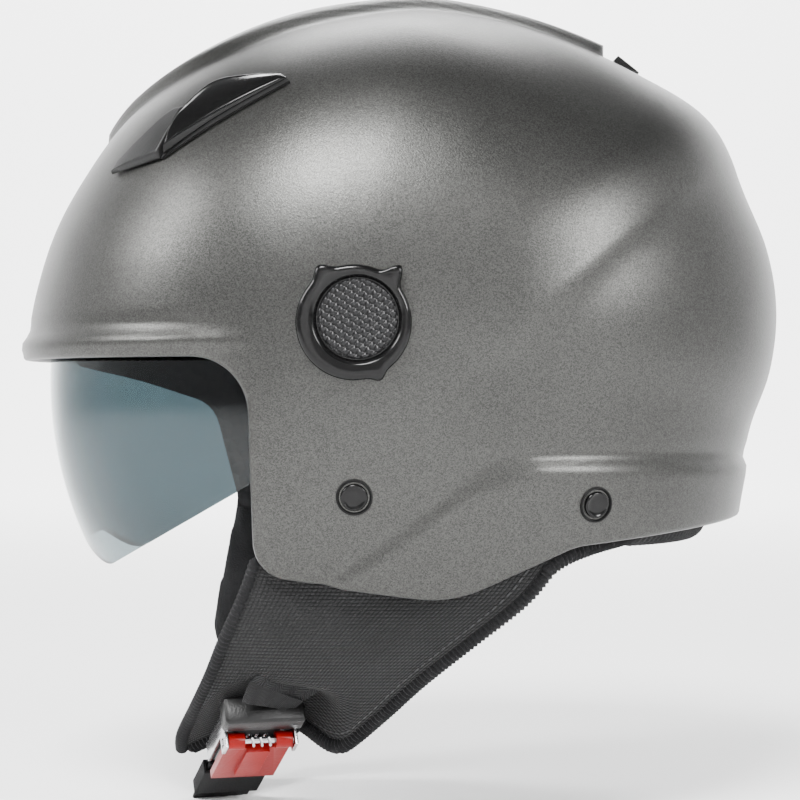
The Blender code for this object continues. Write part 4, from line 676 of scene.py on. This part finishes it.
def exhaust_place(u, v, upper):
    """A strip across the shell, low at its rear edge and slatted."""
    share = (v + 1.0) / 2.0
    angle = EXHAUST_START - EXHAUST_SPAN * share
    outward = Vector((math.cos(angle), 0.0, math.sin(angle)))
    y = u * EXHAUST_HALF_LENGTH
    reach = (1.0 - (y / HALF_WIDTH) ** 2) ** (1.0 / ROUND_ALONG) * outline_radius(angle)
    slat = 0.72 + 0.28 * math.cos(u * math.pi * EXHAUST_SLATS)
    rise = mix(0.0027, 0.0008, share) * slat * min(1.0, 12.0 * (1.02 - abs(u)))
    return outward * (reach + 0.0003 + (rise if upper else 0.0)) + Vector((0.0, y, 0.0))


exhaust = add_piece("exhaust_grille", slab(144, 14, exhaust_place), satin_black, "helmet")
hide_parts("rear_exhaust")


# ---- Sun visor. A 2.2 mm polycarbonate sheet with a smoke tint, moulded with two arms whose eyes
# turn on the base plates behind the knobs. Its edge is polished.
HINGE = Vector((0.026768, 0.0, -0.017987))
VISOR_REACH, VISOR_SIDE, VISOR_ROUND, VISOR_WALL = 0.1426, 0.1062, 2.4, 0.0022
VISOR_TOP, VISOR_BOTTOM = math.radians(12.0), math.radians(-30.0)
NOSE_NOTCH, EYE_RADIUS, NECK_REACH = math.radians(5.5), 0.012, 0.018
# How far along each half of the piece, from the middle to an eye, the sheet and the arm's neck go.
SHEET_SHARE, NECK_SHARE = 0.84, 0.94
ARM_TURN = math.acos((0.055 / VISOR_REACH) ** (VISOR_ROUND / 2.0))
ARM_TILT = (VISOR_TOP + VISOR_BOTTOM) / 2.0


def visor_sheet(turn, share, inset, side):
    """A point of the visor's curved sheet."""
    reach = (VISOR_REACH - inset) * max(0.0, math.cos(turn)) ** (2.0 / VISOR_ROUND)
    wide = (VISOR_SIDE - inset) * max(0.0, math.sin(turn)) ** (2.0 / VISOR_ROUND)
    nose = 1.0 - ease(0.017, 0.051, wide)
    tilt = mix(VISOR_BOTTOM + NOSE_NOTCH * nose, VISOR_TOP, share)
    return Vector((HINGE.x - reach * math.cos(tilt), side * wide, HINGE.z + reach * math.sin(tilt)))


def visor_arm(ahead, up, inset, side):
    """A point of the flat arm, ahead of the hinge and above its middle line."""
    return Vector((HINGE.x - ahead * math.cos(ARM_TILT) + up * math.sin(ARM_TILT),
                   side * (VISOR_SIDE - inset),
                   HINGE.z + ahead * math.sin(ARM_TILT) + up * math.cos(ARM_TILT)))


def visor_place(u, v, upper):
    """The visor from one eye, over the face, to the other."""
    inset = 0.0 if upper else VISOR_WALL
    share, side, reach = (v + 1.0) / 2.0, math.copysign(1.0, u), abs(u)
    if reach <= SHEET_SHARE:
        return visor_sheet(ARM_TURN * reach / SHEET_SHARE, share, inset, side)
    root = visor_sheet(ARM_TURN, share, inset, side)
    neck = visor_arm(NECK_REACH, EYE_RADIUS * v, inset, side)
    if reach <= NECK_SHARE:
        return root.lerp(neck, (reach - SHEET_SHARE) / (NECK_SHARE - SHEET_SHARE))
    turn = math.pi * v / 2.0
    eye = visor_arm(-EYE_RADIUS * math.cos(turn), EYE_RADIUS * math.sin(turn), inset, side)
    return neck.lerp(eye, (reach - NECK_SHARE) / (1.0 - NECK_SHARE))


smoke, tree, shader, coordinates = plain_material("smoke_polycarbonate", ior=1.32, clear=1.0)
fine = place_group(tree, grain, {"Vector": coordinates.outputs["Object"], "Scale": 700.0, "Depth": 0.0,
                                 "Blotch": 30.0})
finish_with(tree, shader, between(tree, fine.outputs[2], (0.125, 0.168, 0.182), (0.145, 0.190, 0.205)), None,
            ranged(tree, fine.outputs[2], 0.008, 0.020, 0.4, 0.8))
visor = add_piece("tinted_visor", slab(220, 36, visor_place), smoke, "visor", 50.0)
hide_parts("sun_visor")
steel = grained("bright_steel", (0.42, 0.42, 0.43), (0.62, 0.62, 0.63), 0.24, scale=300.0, depth=0.00003,
                metallic=1.0)
nylon = grained("moulded_nylon", (0.020, 0.020, 0.021), (0.040, 0.040, 0.042), 0.48, scale=1200.0,
                depth=0.00006)
for label in SIDES:
    give(nylon, f"visor_gear_{label}", f"knob_shaft_{label}")
    give(satin_black, f"visor_base_{label}")
    give(steel, f"hinge_screw_{label}", f"knob_screw_{label}", f"anchor_plate_front_{label}",
         f"anchor_plate_rear_{label}")


# ---- Lining. Brushed black polyester over foam, quilted on the crown. The crown pad hangs in the
# foam liner on studs; the cheek pads press against its sides.
lining = grained("brushed_lining", (0.002, 0.002, 0.002), (0.010, 0.010, 0.011), 0.92, scale=2200.0,
                 depth=0.00035, blotch=60.0, sheen=0.02, ior=1.25)
CROWN_INSET, CROWN_THICK, CHANNEL_DEPTH, CHANNEL_GAP = 0.0318, 0.0085, 0.0035, 0.034
CROWN_CUT = [(-SIDE_REACH, 0.0050, 0.0), (SIDE_REACH, -0.0250, 0.0),
             (SIDE_REACH, -0.40, 0.0), (-SIDE_REACH, -0.40, 0.0)]


def quilted(place):
    """Thickness of the crown pad, pinched along its sewn channels."""
    slanted = abs((place.x + 0.6 * abs(place.y)) % CHANNEL_GAP - CHANNEL_GAP / 2.0)
    return CROWN_THICK - CHANNEL_DEPTH * bump(min(slanted, abs(abs(place.y) - 0.030)), 0.0, 0.0022)


builder, _ = trimmed_dome(150, 76, CROWN_INSET, CROWN_CUT, lambda place, angle: (0.0, 0.0), quilted)
crown = add_piece("crown_lining", builder, lining, "helmet", 60.0)
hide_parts("crown_pad")


row_cache = {}


def row_at(rows, z):
    """Front and rear x at height z of an outline given as rows of (z, front, rear), smoothed."""
    key = (id(rows), round(z, 6))
    if key not in row_cache:
        points = [Vector(row) for row in rows]
        low, high = 0.0, 1.0
        for _ in range(18):
            middle = (low + high) / 2.0
            low, high = (middle, high) if smooth_along(points, middle).x > z else (low, middle)
        row_cache[key] = smooth_along(points, low)
    return row_cache[key].y, row_cache[key].z


def panel_point(rows, inset, thick, side, turn_in, edge_power, u, v, upper):
    """A point of a soft panel that hangs inside the shell, thin at its edges."""
    z = mix(rows[0][0], rows[-1][0], (v + 1.0) / 2.0)
    front, rear = row_at(rows, z)
    x = mix(front, rear, (u + 1.0) / 2.0)
    full = math.sqrt(max(0.0, 1.0 - abs(u) ** edge_power) * max(0.0, 1.0 - abs(v) ** edge_power))
    half = thick / 2.0 * mix(0.30, 1.0, full)
    y = half_width_at(x, z) - inset - turn_in(z) - thick / 2.0
    return Vector((x, side * (y + (half if upper else -half)), z))


def swell(piece, voxel, pressure, cap, frames=20):
    """Fills a closed soft piece by a cloth simulation and keeps the result in its mesh."""
    scene = bpy.context.scene
    remesh = piece.modifiers.new("remesh", "REMESH")
    remesh.mode = "VOXEL"
    remesh.voxel_size = voxel
    bpy.context.view_layer.update()
    plain = bpy.data.meshes.new_from_object(piece.evaluated_get(bpy.context.evaluated_depsgraph_get()))
    piece.modifiers.clear()
    surface = piece.data.materials[0]
    piece.data = plain
    rest = [v.co.copy() for v in plain.vertices]
    cloth = piece.modifiers.new("cloth", "CLOTH")
    cloth.settings.use_pressure = True
    cloth.settings.uniform_pressure_force = pressure
    cloth.settings.effector_weights.gravity = 0.0
    for number in range(1, frames + 1):
        scene.frame_set(number)
    blown = piece.evaluated_get(bpy.context.evaluated_depsgraph_get()).data
    moved = [v.co.copy() for v in blown.vertices]
    piece.modifiers.clear()
    scene.frame_set(1)
    for vertex, start, end in zip(plain.vertices, rest, moved):
        shift = end - start
        if shift.length > cap:
            shift = shift.normalized() * cap
        vertex.co = start + shift
    plain.materials.clear()
    plain.materials.append(surface)
    plain.shade_smooth()
    finer = piece.modifiers.new("finer", "SUBSURF")
    finer.levels = 1
    finer.render_levels = 1


CHEEK_INSET, CHEEK_THICK = 0.0350, 0.0165
CHEEK_ROWS = [
    (-0.0240, -0.0380, 0.0400), (-0.0420, -0.0420, 0.0430), (-0.0620, -0.0440, 0.0420),
    (-0.0860, -0.0490, 0.0330), (-0.1130, -0.0540, 0.0100),
]
for label, side in SIDES.items():
    builder = slab(30, 34, lambda u, v, upper: panel_point(
        CHEEK_ROWS, CHEEK_INSET, CHEEK_THICK, side, lambda z: 0.0, 5.0, u, v, upper))
    cheek = add_piece(f"cheek_cushion_{label}", builder, lining, "helmet", 80.0)
    swell(cheek, 0.0045, 4.0, 0.0012)
    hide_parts(f"cheek_pad_{label}")


# ---- Side flaps. Coarse basket-weave polyester over thin foam, sewn round with a ribbed binding.
# They hang from the shell's lower rim, cover the straps, and turn in towards the throat.
FLAP_ROWS = [
    (-0.0770, -0.0325, 0.0700), (-0.0850, -0.0350, 0.0640), (-0.0940, -0.0385, 0.0560),
    (-0.1080, -0.0450, 0.0385), (-0.1220, -0.0510, 0.0220), (-0.1360, -0.0580, 0.0080),
    (-0.1480, -0.0640, -0.0050), (-0.1555, -0.0650, -0.0170),
]
FLAP_INSET, FLAP_THICK = 0.0042, 0.0070
# The binding's tail runs on under the shell's rim to the neck roll: place in the side view, inset.
FLAP_TAIL = [
    (0.0655, -0.0828, 0.0062), (0.0690, -0.0803, 0.0064), (0.0730, -0.0782, 0.0068),
    (0.0775, -0.0766, 0.0076), (0.0820, -0.0753, 0.0090), (0.0870, -0.0743, 0.0108),
    (0.0925, -0.0733, 0.0130), (0.0980, -0.0722, 0.0155),
]
BUCKLE_YAW, BUCKLE_PITCH = math.radians(17.0), math.radians(30.0)


def flap_turn(z):
    """How far the flap has turned in towards the throat at height z."""
    return 0.0125 * ease(-0.095, -0.150, z)


def buckle_frame():
    """The buckle's own frame: x across the strap, y along it, z away from the chin."""
    aside = Vector((-math.cos(BUCKLE_YAW), -math.sin(BUCKLE_YAW), 0.0))
    ahead = Vector((-math.sin(BUCKLE_YAW) * math.cos(BUCKLE_PITCH),
                    math.cos(BUCKLE_YAW) * math.cos(BUCKLE_PITCH), -math.sin(BUCKLE_PITCH)))
    placed = Matrix((aside, ahead, aside.cross(ahead))).transposed().to_4x4()
    placed.translation = (-0.0375, -0.0520, -0.1445)
    return placed


buckle = buckle_frame()
to_buckle = buckle.inverted()


def flap_place(side):
    """The place function of a flap, creased softly, and pressed in behind the buckle."""
    def place(u, v, upper):
        point = panel_point(FLAP_ROWS, FLAP_INSET, FLAP_THICK, side, flap_turn, 8.0, u, v, upper)
        soft = (1.0 - u ** 4) * (1.0 - v ** 4)
        wave = noise.noise(point * 34.0) * 0.0022
        wave += noise.noise(point * 85.0 + Vector((3.0, 0.0, 0.0))) * 0.0007
        point.y += side * wave * soft
        dent = bump(point.x, -0.030, 0.013) * bump(point.z, -0.1478, 0.0040)
        point.y -= side * 0.0022 * dent * (1.0 if upper else 0.3)
        if side == LEFT:
            local = to_buckle @ point
            near = ease(0.0300, 0.0155, abs(local.x)) * ease(-0.0420, -0.0230, local.y)
            limit = -0.0072 if upper else -0.0102
            if near > 0.0 and local.z > limit:
                local.z = mix(local.z, limit, near)
                point = buckle @ local
        return point
    return place


flap_cloth, tree, shader, coordinates = plain_material("basket_weave_cloth", roughness=0.80, sheen=0.02,
                                                       ior=1.30)
flap_weave = place_group(tree, weave, {"Vector": coordinates.outputs["UV"], "Pitch": 0.00135})
worn = node_of(tree, "ShaderNodeTexNoise", {"Vector": coordinates.outputs["Object"], "Scale": 45.0,
                                            "Detail": 5.0})
flap_relief = node_of(tree, "ShaderNodeBump", {"Height": flap_weave.outputs[0], "Distance": 0.0007})
# The cloth's colour is the weave's painted shade between threads and painted highlight on their tops, scaled
# by slow random wear.
weave_shade_and_wear = maths(tree, "MULTIPLY", flap_weave.outputs[1], ranged(tree, worn.outputs[0], 0.7, 1.25, 0.3, 0.7))
finish_with(tree, shader, between(tree, weave_shade_and_wear, (0.0004, 0.0004, 0.0004), (0.0105, 0.0105, 0.0110)),
            flap_relief.outputs[0], ranged(tree, flap_weave.outputs[0], 0.92, 0.68))
ribbed = grained("ribbed_knit", (0.001, 0.001, 0.001), (0.008, 0.008, 0.009), 0.88, scale=2600.0,
                 depth=0.0003, sheen=0.02, ior=1.30)
yarn = grained("sewing_thread", (0.014, 0.014, 0.015), (0.040, 0.040, 0.042), 0.7, scale=3000.0,
               depth=0.0001)


def resampled(points, step, closed=False):
    """The same line with its points a step apart."""
    if closed:
        points = points + [points[0]]
    line, spare = [points[0].copy()], step
    for start, end in zip(points, points[1:]):
        length = (end - start).length
        while length > 1e-9 and spare <= length:
            line.append(start.lerp(end, spare / length))
            spare += step
        spare -= length
    return line


def ribbed_tube(name, points, radius, pitch, depth, surface, body, closed=False, sides=12):
    """A round bar along the points, with raised ribs a pitch apart."""
    step = pitch / 4.0
    line = resampled(points, step, closed)
    builder = bmesh.new()
    ring, upward = None, None
    count = len(line)
    for index, point in enumerate(line):
        before = line[index - 1] if index or closed else line[0]
        after = line[(index + 1) % count] if index + 1 < count or closed else line[-1]
        ahead = (after - before).normalized()
        upward = upward or ahead.orthogonal().normalized()
        upward = (upward - ahead * upward.dot(ahead)).normalized()
        aside = ahead.cross(upward)
        to_end = min(index, count - 1 - index) * step / radius
        end = 1.0 if closed else min(1.0, math.sqrt(max(0.05, to_end)))
        size = radius * (1.0 + depth * math.cos(math.tau * index / 4.0)) * end
        if ring is None:
            bmesh.ops.create_circle(builder, cap_ends=not closed, segments=sides, radius=1.0)
            ring = list(builder.verts)
        else:
            following = [builder.verts.new(point) for _ in ring]
            for k in range(sides):
                builder.faces.new((ring[k], ring[(k + 1) % sides], following[(k + 1) % sides], following[k]))
            ring = following
        for k, vertex in enumerate(ring):
            turn = math.tau * k / sides
            vertex.co = point + (upward * math.cos(turn) + aside * math.sin(turn)) * size
    if not closed:
        builder.faces.new(ring)
    return add_piece(name, builder, surface, body, 70.0)


def stitches(name, points, length, gap, radius, surface, body):
    """A row of short thread stitches along a line, standing a little out of the cloth."""
    builder = bmesh.new()
    line = resampled(points, length + gap)
    for start, end in zip(line, line[1:]):
        along = (end - start).normalized()
        made = bmesh.ops.create_uvsphere(builder, u_segments=6, v_segments=5, radius=1.0)["verts"]
        middle = start + along * length / 2.0
        turn = along.to_track_quat("Z", "Y").to_matrix().to_4x4()
        shape = Matrix.Translation(middle) @ turn @ Matrix.Diagonal((radius, radius, length / 2.0, 1.0))
        bmesh.ops.transform(builder, verts=made, matrix=shape)
    return add_piece(name, builder, surface, body, 80.0)


for label, side in SIDES.items():
    place = flap_place(side)
    flap = add_piece(f"flap_panel_{label}", slab(96, 84, place, (0.080, 0.085)), flap_cloth, "helmet",
                     70.0)
    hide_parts(f"side_flap_{label}")

    def on_flap(u, v, out=0.0):
        """A point just under the flap's outer face, or raised by out over it."""
        face = place(u, v, True)
        if out:
            return face + Vector((0.0, side * out, 0.0))
        return ((face + place(u, v, False)) / 2.0).lerp(face, 0.5)

    front = [on_flap(-1.0, -0.96 + 1.96 * k / 40.0) for k in range(41)]
    ribbed_tube(f"flap_piping_{label}", front, 0.0023, 0.0020, 0.10, ribbed, "helmet")
    lower = [on_flap(-1.0 + 2.0 * k / 24.0, 1.0) for k in range(1, 25)]
    rear = [on_flap(1.0, 1.0 - 1.96 * k / 48.0) for k in range(1, 49)]
    rear = [point for point in rear if point.z < FLAP_TAIL[0][1] - 0.0010]
    rear += [side_point(x, z, side, inset) for x, z, inset in FLAP_TAIL]
    ribbed_tube(f"flap_binding_{label}", lower + rear, 0.0030, 0.0017, 0.12, ribbed, "helmet")
    seam = [on_flap(0.86, 0.90 - 1.80 * k / 48.0, 0.0002) for k in range(49)]
    stitches(f"flap_stitches_{label}", seam, 0.0022, 0.0011, 0.00028, yarn, "helmet")


# ---- Neck roll. A bar of foam in a ribbed knit tube, sewn to the lining's rear edge, so that it
# closes the gap between the rear rim and the neck.
ROLL_LEVEL, ROLL_INSET, ROLL_START, ROLL_RADIUS, ROLL_STEPS = -0.0700, 0.0180, 0.0900, 0.0069, 64


def rear_reach(z, inset):
    """How far back the surface reaches in the mid-plane at height z."""
    low, high = 0.0, SIDE_REACH
    for _ in range(40):
        middle = (low + high) / 2.0
        inside = math.hypot(middle, z) < outline_radius(math.atan2(z, middle)) - inset
        low, high = (middle, high) if inside else (low, middle)
    return low


roll_line = []
for k in range(ROLL_STEPS + 1):
    turn = math.pi * (k / ROLL_STEPS - 0.5)
    x = mix(ROLL_START, rear_reach(ROLL_LEVEL, ROLL_INSET), math.cos(turn))
    roll_line.append(Vector((x, math.copysign(half_width_at(x, ROLL_LEVEL, ROLL_INSET), turn), ROLL_LEVEL)))
roll = ribbed_tube("neck_roll_cover", roll_line, ROLL_RADIUS, 0.0026, 0.035, ribbed, "helmet",
                   sides=24)
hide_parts("neck_roll")


# ---- Rubber edging. An extruded black strip pressed over the lower rim, between shell and lining.
# It follows the shell's rim all the way round, a little inside it.
EDGING_INSET, EDGING_RADIUS, MOST_RIM_POINTS = 0.0013, 0.0015, 5000
edging = grained("edging_rubber", (0.006, 0.006, 0.006), (0.014, 0.014, 0.014), 0.60, scale=1100.0,
                 depth=0.00008)


def rim_key(place):
    """A place on the rim, rounded so that the edges that meet there share it."""
    return tuple(round(value, 6) for value in place)


rim_next = {}
for start, end, normal in shell_rim:
    for here, there in ((start, end), (end, start)):
        rim_next.setdefault(rim_key(here), []).append((rim_key(there), normal))
first_key = next(iter(rim_next))
here_key, last_key, rim_line = first_key, None, []
while here_key is not None and len(rim_line) < MOST_RIM_POINTS:
    point = Vector(here_key) - rim_next[here_key][0][1] * (WALL + EDGING_INSET)
    point.z += 0.0006 if point.z < -0.02 else 0.0012
    rim_line.append(point)
    onward = [there for there, _ in rim_next[here_key] if there != last_key]
    last_key, here_key = here_key, onward[0] if onward and onward[0] != first_key else None
ribbed_tube("rim_edging", rim_line, EDGING_RADIUS, 0.0040, 0.0, edging, "helmet",
            closed=True, sides=8)


# ---- Chin strap. Woven polyester webbing, 21 mm wide, in two lengths a side that meet inside the
# flap. Rivets hold their ends. The left one ends at the buckle, the right one under the chin.
STRAP_WIDTH, STRAP_THICK, STRAP_INSET = 0.021, 0.0015, 0.0155
STRAP_AT_RIVET = -(WALL + 0.0012) - 0.0012 - 0.0003 - STRAP_THICK / 2.0
FLAP_SLOT = (-0.0215, -0.1265)
webbing, tree, shader, coordinates = plain_material("polyester_webbing", roughness=0.72, sheen=0.02,
                                                    ior=1.30)
parts = node_of(tree, "ShaderNodeSeparateXYZ", {0: coordinates.outputs["UV"]})
slope = maths(tree, "MULTIPLY_ADD", maths(tree, "PINGPONG", parts.outputs[0], 0.0026), 1.4, parts.outputs[1])
bars = maths(tree, "SINE", maths(tree, "MULTIPLY", slope, math.tau / 0.0014))
fibres = node_of(tree, "ShaderNodeTexNoise", {"Vector": coordinates.outputs["UV"], "Scale": 2400.0})
height = maths(tree, "ADD", bars, maths(tree, "MULTIPLY", fibres.outputs[0], 0.6))
webbing_relief = node_of(tree, "ShaderNodeBump", {"Height": height, "Distance": 0.00022})
# The colour follows the same relief: painted shade in the twill's grooves, painted highlight on its ribs, and
# random fibre tone.
finish_with(tree, shader, between(tree, ranged(tree, height, 0.0, 1.0, -1.0, 1.6), (0.001, 0.001, 0.001),
                                  (0.011, 0.011, 0.012)), webbing_relief.outputs[0])


def inside_flap(x, z, side, extra=0.0):
    """A guide of a strap's path inside the flap."""
    wide = half_width_at(x, z) - STRAP_INSET - flap_turn(z) - extra
    return Vector((x, side * wide, z)), side_normal(x, z, side)


def strap_end(rivet, lean):
    """Guides of a strap's end, flat under its rivet and leading off in the lean direction."""
    outward = rivet.to_3x3() @ Vector((0.0, 1.0, 0.0))
    ahead = (lean - outward * lean.dot(outward)).normalized()
    start = rivet @ Vector((0.0, STRAP_AT_RIVET, 0.0))
    return [(start + ahead * distance, outward) for distance in (-0.0085, 0.0085)]


def strap(name, guides, body, replaced):
    """Webbing through the guides, its flat side facing outwards and its edges a little thinner."""
    line = [Vector(p) for p, _ in guides]
    facing = [Vector(n) for _, n in guides]
    length = sum((b - a).length for a, b in zip(line, line[1:]))

    def place(u, v, upper):
        share = (v + 1.0) / 2.0
        ends = 1.0 / (len(line) - 1)
        if share <= ends:
            point, out = line[0].lerp(line[1], share / ends), facing[0].lerp(facing[1], share / ends)
            ahead = line[1] - line[0]
        elif share >= 1.0 - ends:
            spot = (share - 1.0 + ends) / ends
            point, out = line[-2].lerp(line[-1], spot), facing[-2].lerp(facing[-1], spot)
            ahead = line[-1] - line[-2]
        else:
            point, out = smooth_along(line, share), smooth_along(facing, share)
            ahead = smooth_along(line, share + 0.004) - smooth_along(line, share - 0.004)
        ahead.normalize()
        out = (out - ahead * out.dot(ahead)).normalized()
        thin = 1.0 if abs(u) < 0.85 else 0.72
        offset = STRAP_THICK / 2.0 * thin * (1.0 if upper else -1.0)
        return point + ahead.cross(out) * u * STRAP_WIDTH / 2.0 + out * offset

    made = add_piece(name, slab(14, 110, place, (STRAP_WIDTH, length)), webbing, body, 50.0)
    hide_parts(replaced)


away = buckle.to_3x3() @ Vector((0.0, 0.0, 1.0))
for label, side in SIDES.items():
    x, z = FLAP_SLOT
    outward = (side_normal(x, z, side) + Vector((0.0, 0.0, -0.6))).normalized()
    slot_side = side * (half_width_at(x, z) - FLAP_INSET - flap_turn(z) - FLAP_THICK / 2.0)
    guides = strap_end(surface_frame(*RIVETS["front"], side), Vector((0.0, 0.0, -1.0)))
    guides += [inside_flap(-0.0020, -0.0790, side), inside_flap(-0.0080, -0.1100, side),
               inside_flap(-0.0180, -0.1180, side, -0.0015), (Vector((x - 0.006, slot_side, z)), outward)]
    if label == "left":
        guides += [(buckle @ Vector((0.0, -0.0244, 0.0)), away)]
    else:
        guides += [(Vector((-0.0345, 0.0715, -0.1380)), Vector((0.0, 0.85, -0.53))),
                   (Vector((-0.0420, 0.0580, -0.1530)), Vector((0.0, 0.60, -0.80))),
                   (Vector((-0.0480, 0.0330, -0.1650)), Vector((0.0, 0.35, -0.94))),
                   (Vector((-0.0505, 0.0120, -0.1720)), Vector((0.0, 0.05, -1.00))),
                   (buckle @ Vector((0.0, 0.0620, 0.0)), away), (buckle @ Vector((0.0, 0.0526, 0.0)), away)]
    strap(f"webbing_front_{label}", guides, "helmet", f"strap_front_{label}")
    guides = strap_end(surface_frame(*RIVETS["rear"], side), Vector((-0.85, 0.0, -0.52)))
    guides += [inside_flap(0.0600, -0.0735, side, 0.0010), inside_flap(0.0320, -0.0890, side, 0.0032),
               inside_flap(-0.0050, -0.1030, side, 0.0036)]
    strap(f"webbing_rear_{label}", guides, "helmet", f"strap_rear_{label}")
guides = [(buckle @ Vector((0.0, y, 0.0)), away) for y in (0.0283, 0.0320, 0.0380, 0.0420)]
strap("webbing_tail", guides, "tongue", "strap_tail")


# ---- Chin sleeve. A flat sleeve of the lining's cloth under the chin, sewn along its sides. The
# strap's end slides into it.
def refined(name, node, surface, body, width, segments=3):
    """A finished copy of a CAD piece, its sharp edges rounded."""
    builder = bmesh.new()
    builder.from_mesh(nodes[node].data)
    bmesh.ops.remove_doubles(builder, verts=builder.verts, dist=0.00001)
    bmesh.ops.dissolve_limit(builder, angle_limit=math.radians(1.0), verts=builder.verts, edges=builder.edges)
    piece = add_piece(name, builder, surface, body, 180.0)
    edge = piece.modifiers.new("rounded", "BEVEL")
    edge.width = width
    edge.segments = segments
    edge.limit_method = "ANGLE"
    edge.angle_limit = math.radians(32.0)
    edge.harden_normals = True
    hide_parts(node)
    return piece


sleeve = refined("chin_sleeve", "comfort_sleeve", lining, "helmet", 0.0004)


# ---- Buckle. A bright steel channel under a satin cover, a red moulded lever with a spring-loaded
# steel pawl, and the toothed nylon tongue that the strap's end is sewn to.
lever_red, tree, shader, coordinates = plain_material("red_lever_plastic", roughness=0.30, ior=1.26)
fine = place_group(tree, grain, {"Vector": coordinates.outputs["Object"], "Scale": 900.0, "Depth": 0.00004,
                                 "Blotch": 120.0})
finish_with(tree, shader, between(tree, fine.outputs[2], (0.150, 0.0006, 0.0002), (0.215, 0.0010, 0.0003)),
            fine.outputs[0], ranged(tree, fine.outputs[1], 0.24, 0.38))
refined("buckle_housing", "buckle_cover", satin_black, "helmet", 0.0006)
refined("buckle_frame_channel", "buckle_channel", steel, "helmet", 0.00025, 2)
refined("release_lever", "buckle_lever", lever_red, "lever", 0.00055)
refined("lever_pawl", "buckle_pawl", steel, "lever", 0.00015, 2)
refined("toothed_tongue", "ratchet_tongue", nylon, "tongue", 0.00012, 2)
give(steel, "lever_pin", "lever_spring")


# ---- Floor and light. A pale floor that curves up behind, and large soft lamps above and around.
FLOOR_LEVEL, FLOOR_RADIUS, FLOOR_CURVE, WALL_TOP, CURVE_STEPS = -0.1760, 3.6, 0.8, 3.2, 8
builder = bmesh.new()
places = [(0.0, 0.0, FLOOR_LEVEL), (FLOOR_RADIUS, 0.0, FLOOR_LEVEL)]
for step in range(1, CURVE_STEPS + 1):
    turn = math.radians(90.0) * step / CURVE_STEPS
    places.append((FLOOR_RADIUS + FLOOR_CURVE * math.sin(turn), 0.0,
                   FLOOR_LEVEL + FLOOR_CURVE * (1.0 - math.cos(turn))))
places.append((FLOOR_RADIUS + FLOOR_CURVE, 0.0, WALL_TOP))
profile = [builder.verts.new(place) for place in places]
sides = [builder.edges.new((a, b)) for a, b in zip(profile, profile[1:])]
bmesh.ops.spin(builder, geom=profile + sides, cent=(0.0, 0.0, 0.0), axis=(0.0, 0.0, 1.0), angle=math.tau,
               steps=96, use_merge=True)
bmesh.ops.remove_doubles(builder, verts=builder.verts, dist=0.0001)
bmesh.ops.recalc_face_normals(builder, faces=builder.faces)
bmesh.ops.reverse_faces(builder, faces=builder.faces)
mesh = bpy.data.meshes.new("floor")
builder.to_mesh(mesh)
builder.free()
mesh.shade_smooth()
floor_material, _, shader, _ = plain_material("pale_floor", roughness=0.85)
shader.inputs["Base Color"].default_value = (0.93, 0.93, 0.93, 1.0)
shader.inputs["Emission Color"].default_value = (1.0, 1.0, 1.0, 1.0)
shader.inputs["Emission Strength"].default_value = 0.06
mesh.materials.append(floor_material)
floor = bpy.data.objects.new("floor", mesh)
bpy.context.scene.collection.objects.link(floor)


def softbox(name, place, target, size, power):
    """A square area lamp that points at a target."""
    data = bpy.data.lights.new(name, "AREA")
    data.shape = "SQUARE"
    data.size = size
    data.energy = power
    lamp = bpy.data.objects.new(name, data)
    lamp.location = place
    lamp.rotation_euler = (Vector(target) - Vector(place)).to_track_quat("-Z", "Y").to_euler()
    bpy.context.scene.collection.objects.link(lamp)


softbox("key", (-0.30, -1.10, 1.30), (0.0, 0.0, 0.03), 0.60, 82.0)
softbox("side", (1.15, -0.95, 0.55), (0.06, 0.0, 0.0), 0.45, 30.0)
softbox("front", (-1.30, -0.40, 0.80), (-0.05, 0.0, 0.0), 0.5, 26.0)
softbox("backdrop", (0.0, 2.4, 2.6), (0.0, 4.2, -0.1), 1.6, 330.0)
softbox("fill", (0.10, -1.10, -0.12), (0.02, 0.0, -0.10), 0.5, 2.5)
world = bpy.data.worlds.new("studio")
world.use_nodes = True
world.node_tree.nodes["Background"].inputs[0].default_value = (0.93, 0.95, 0.97, 1.0)
world.node_tree.nodes["Background"].inputs[1].default_value = 0.22
bpy.context.scene.world = world
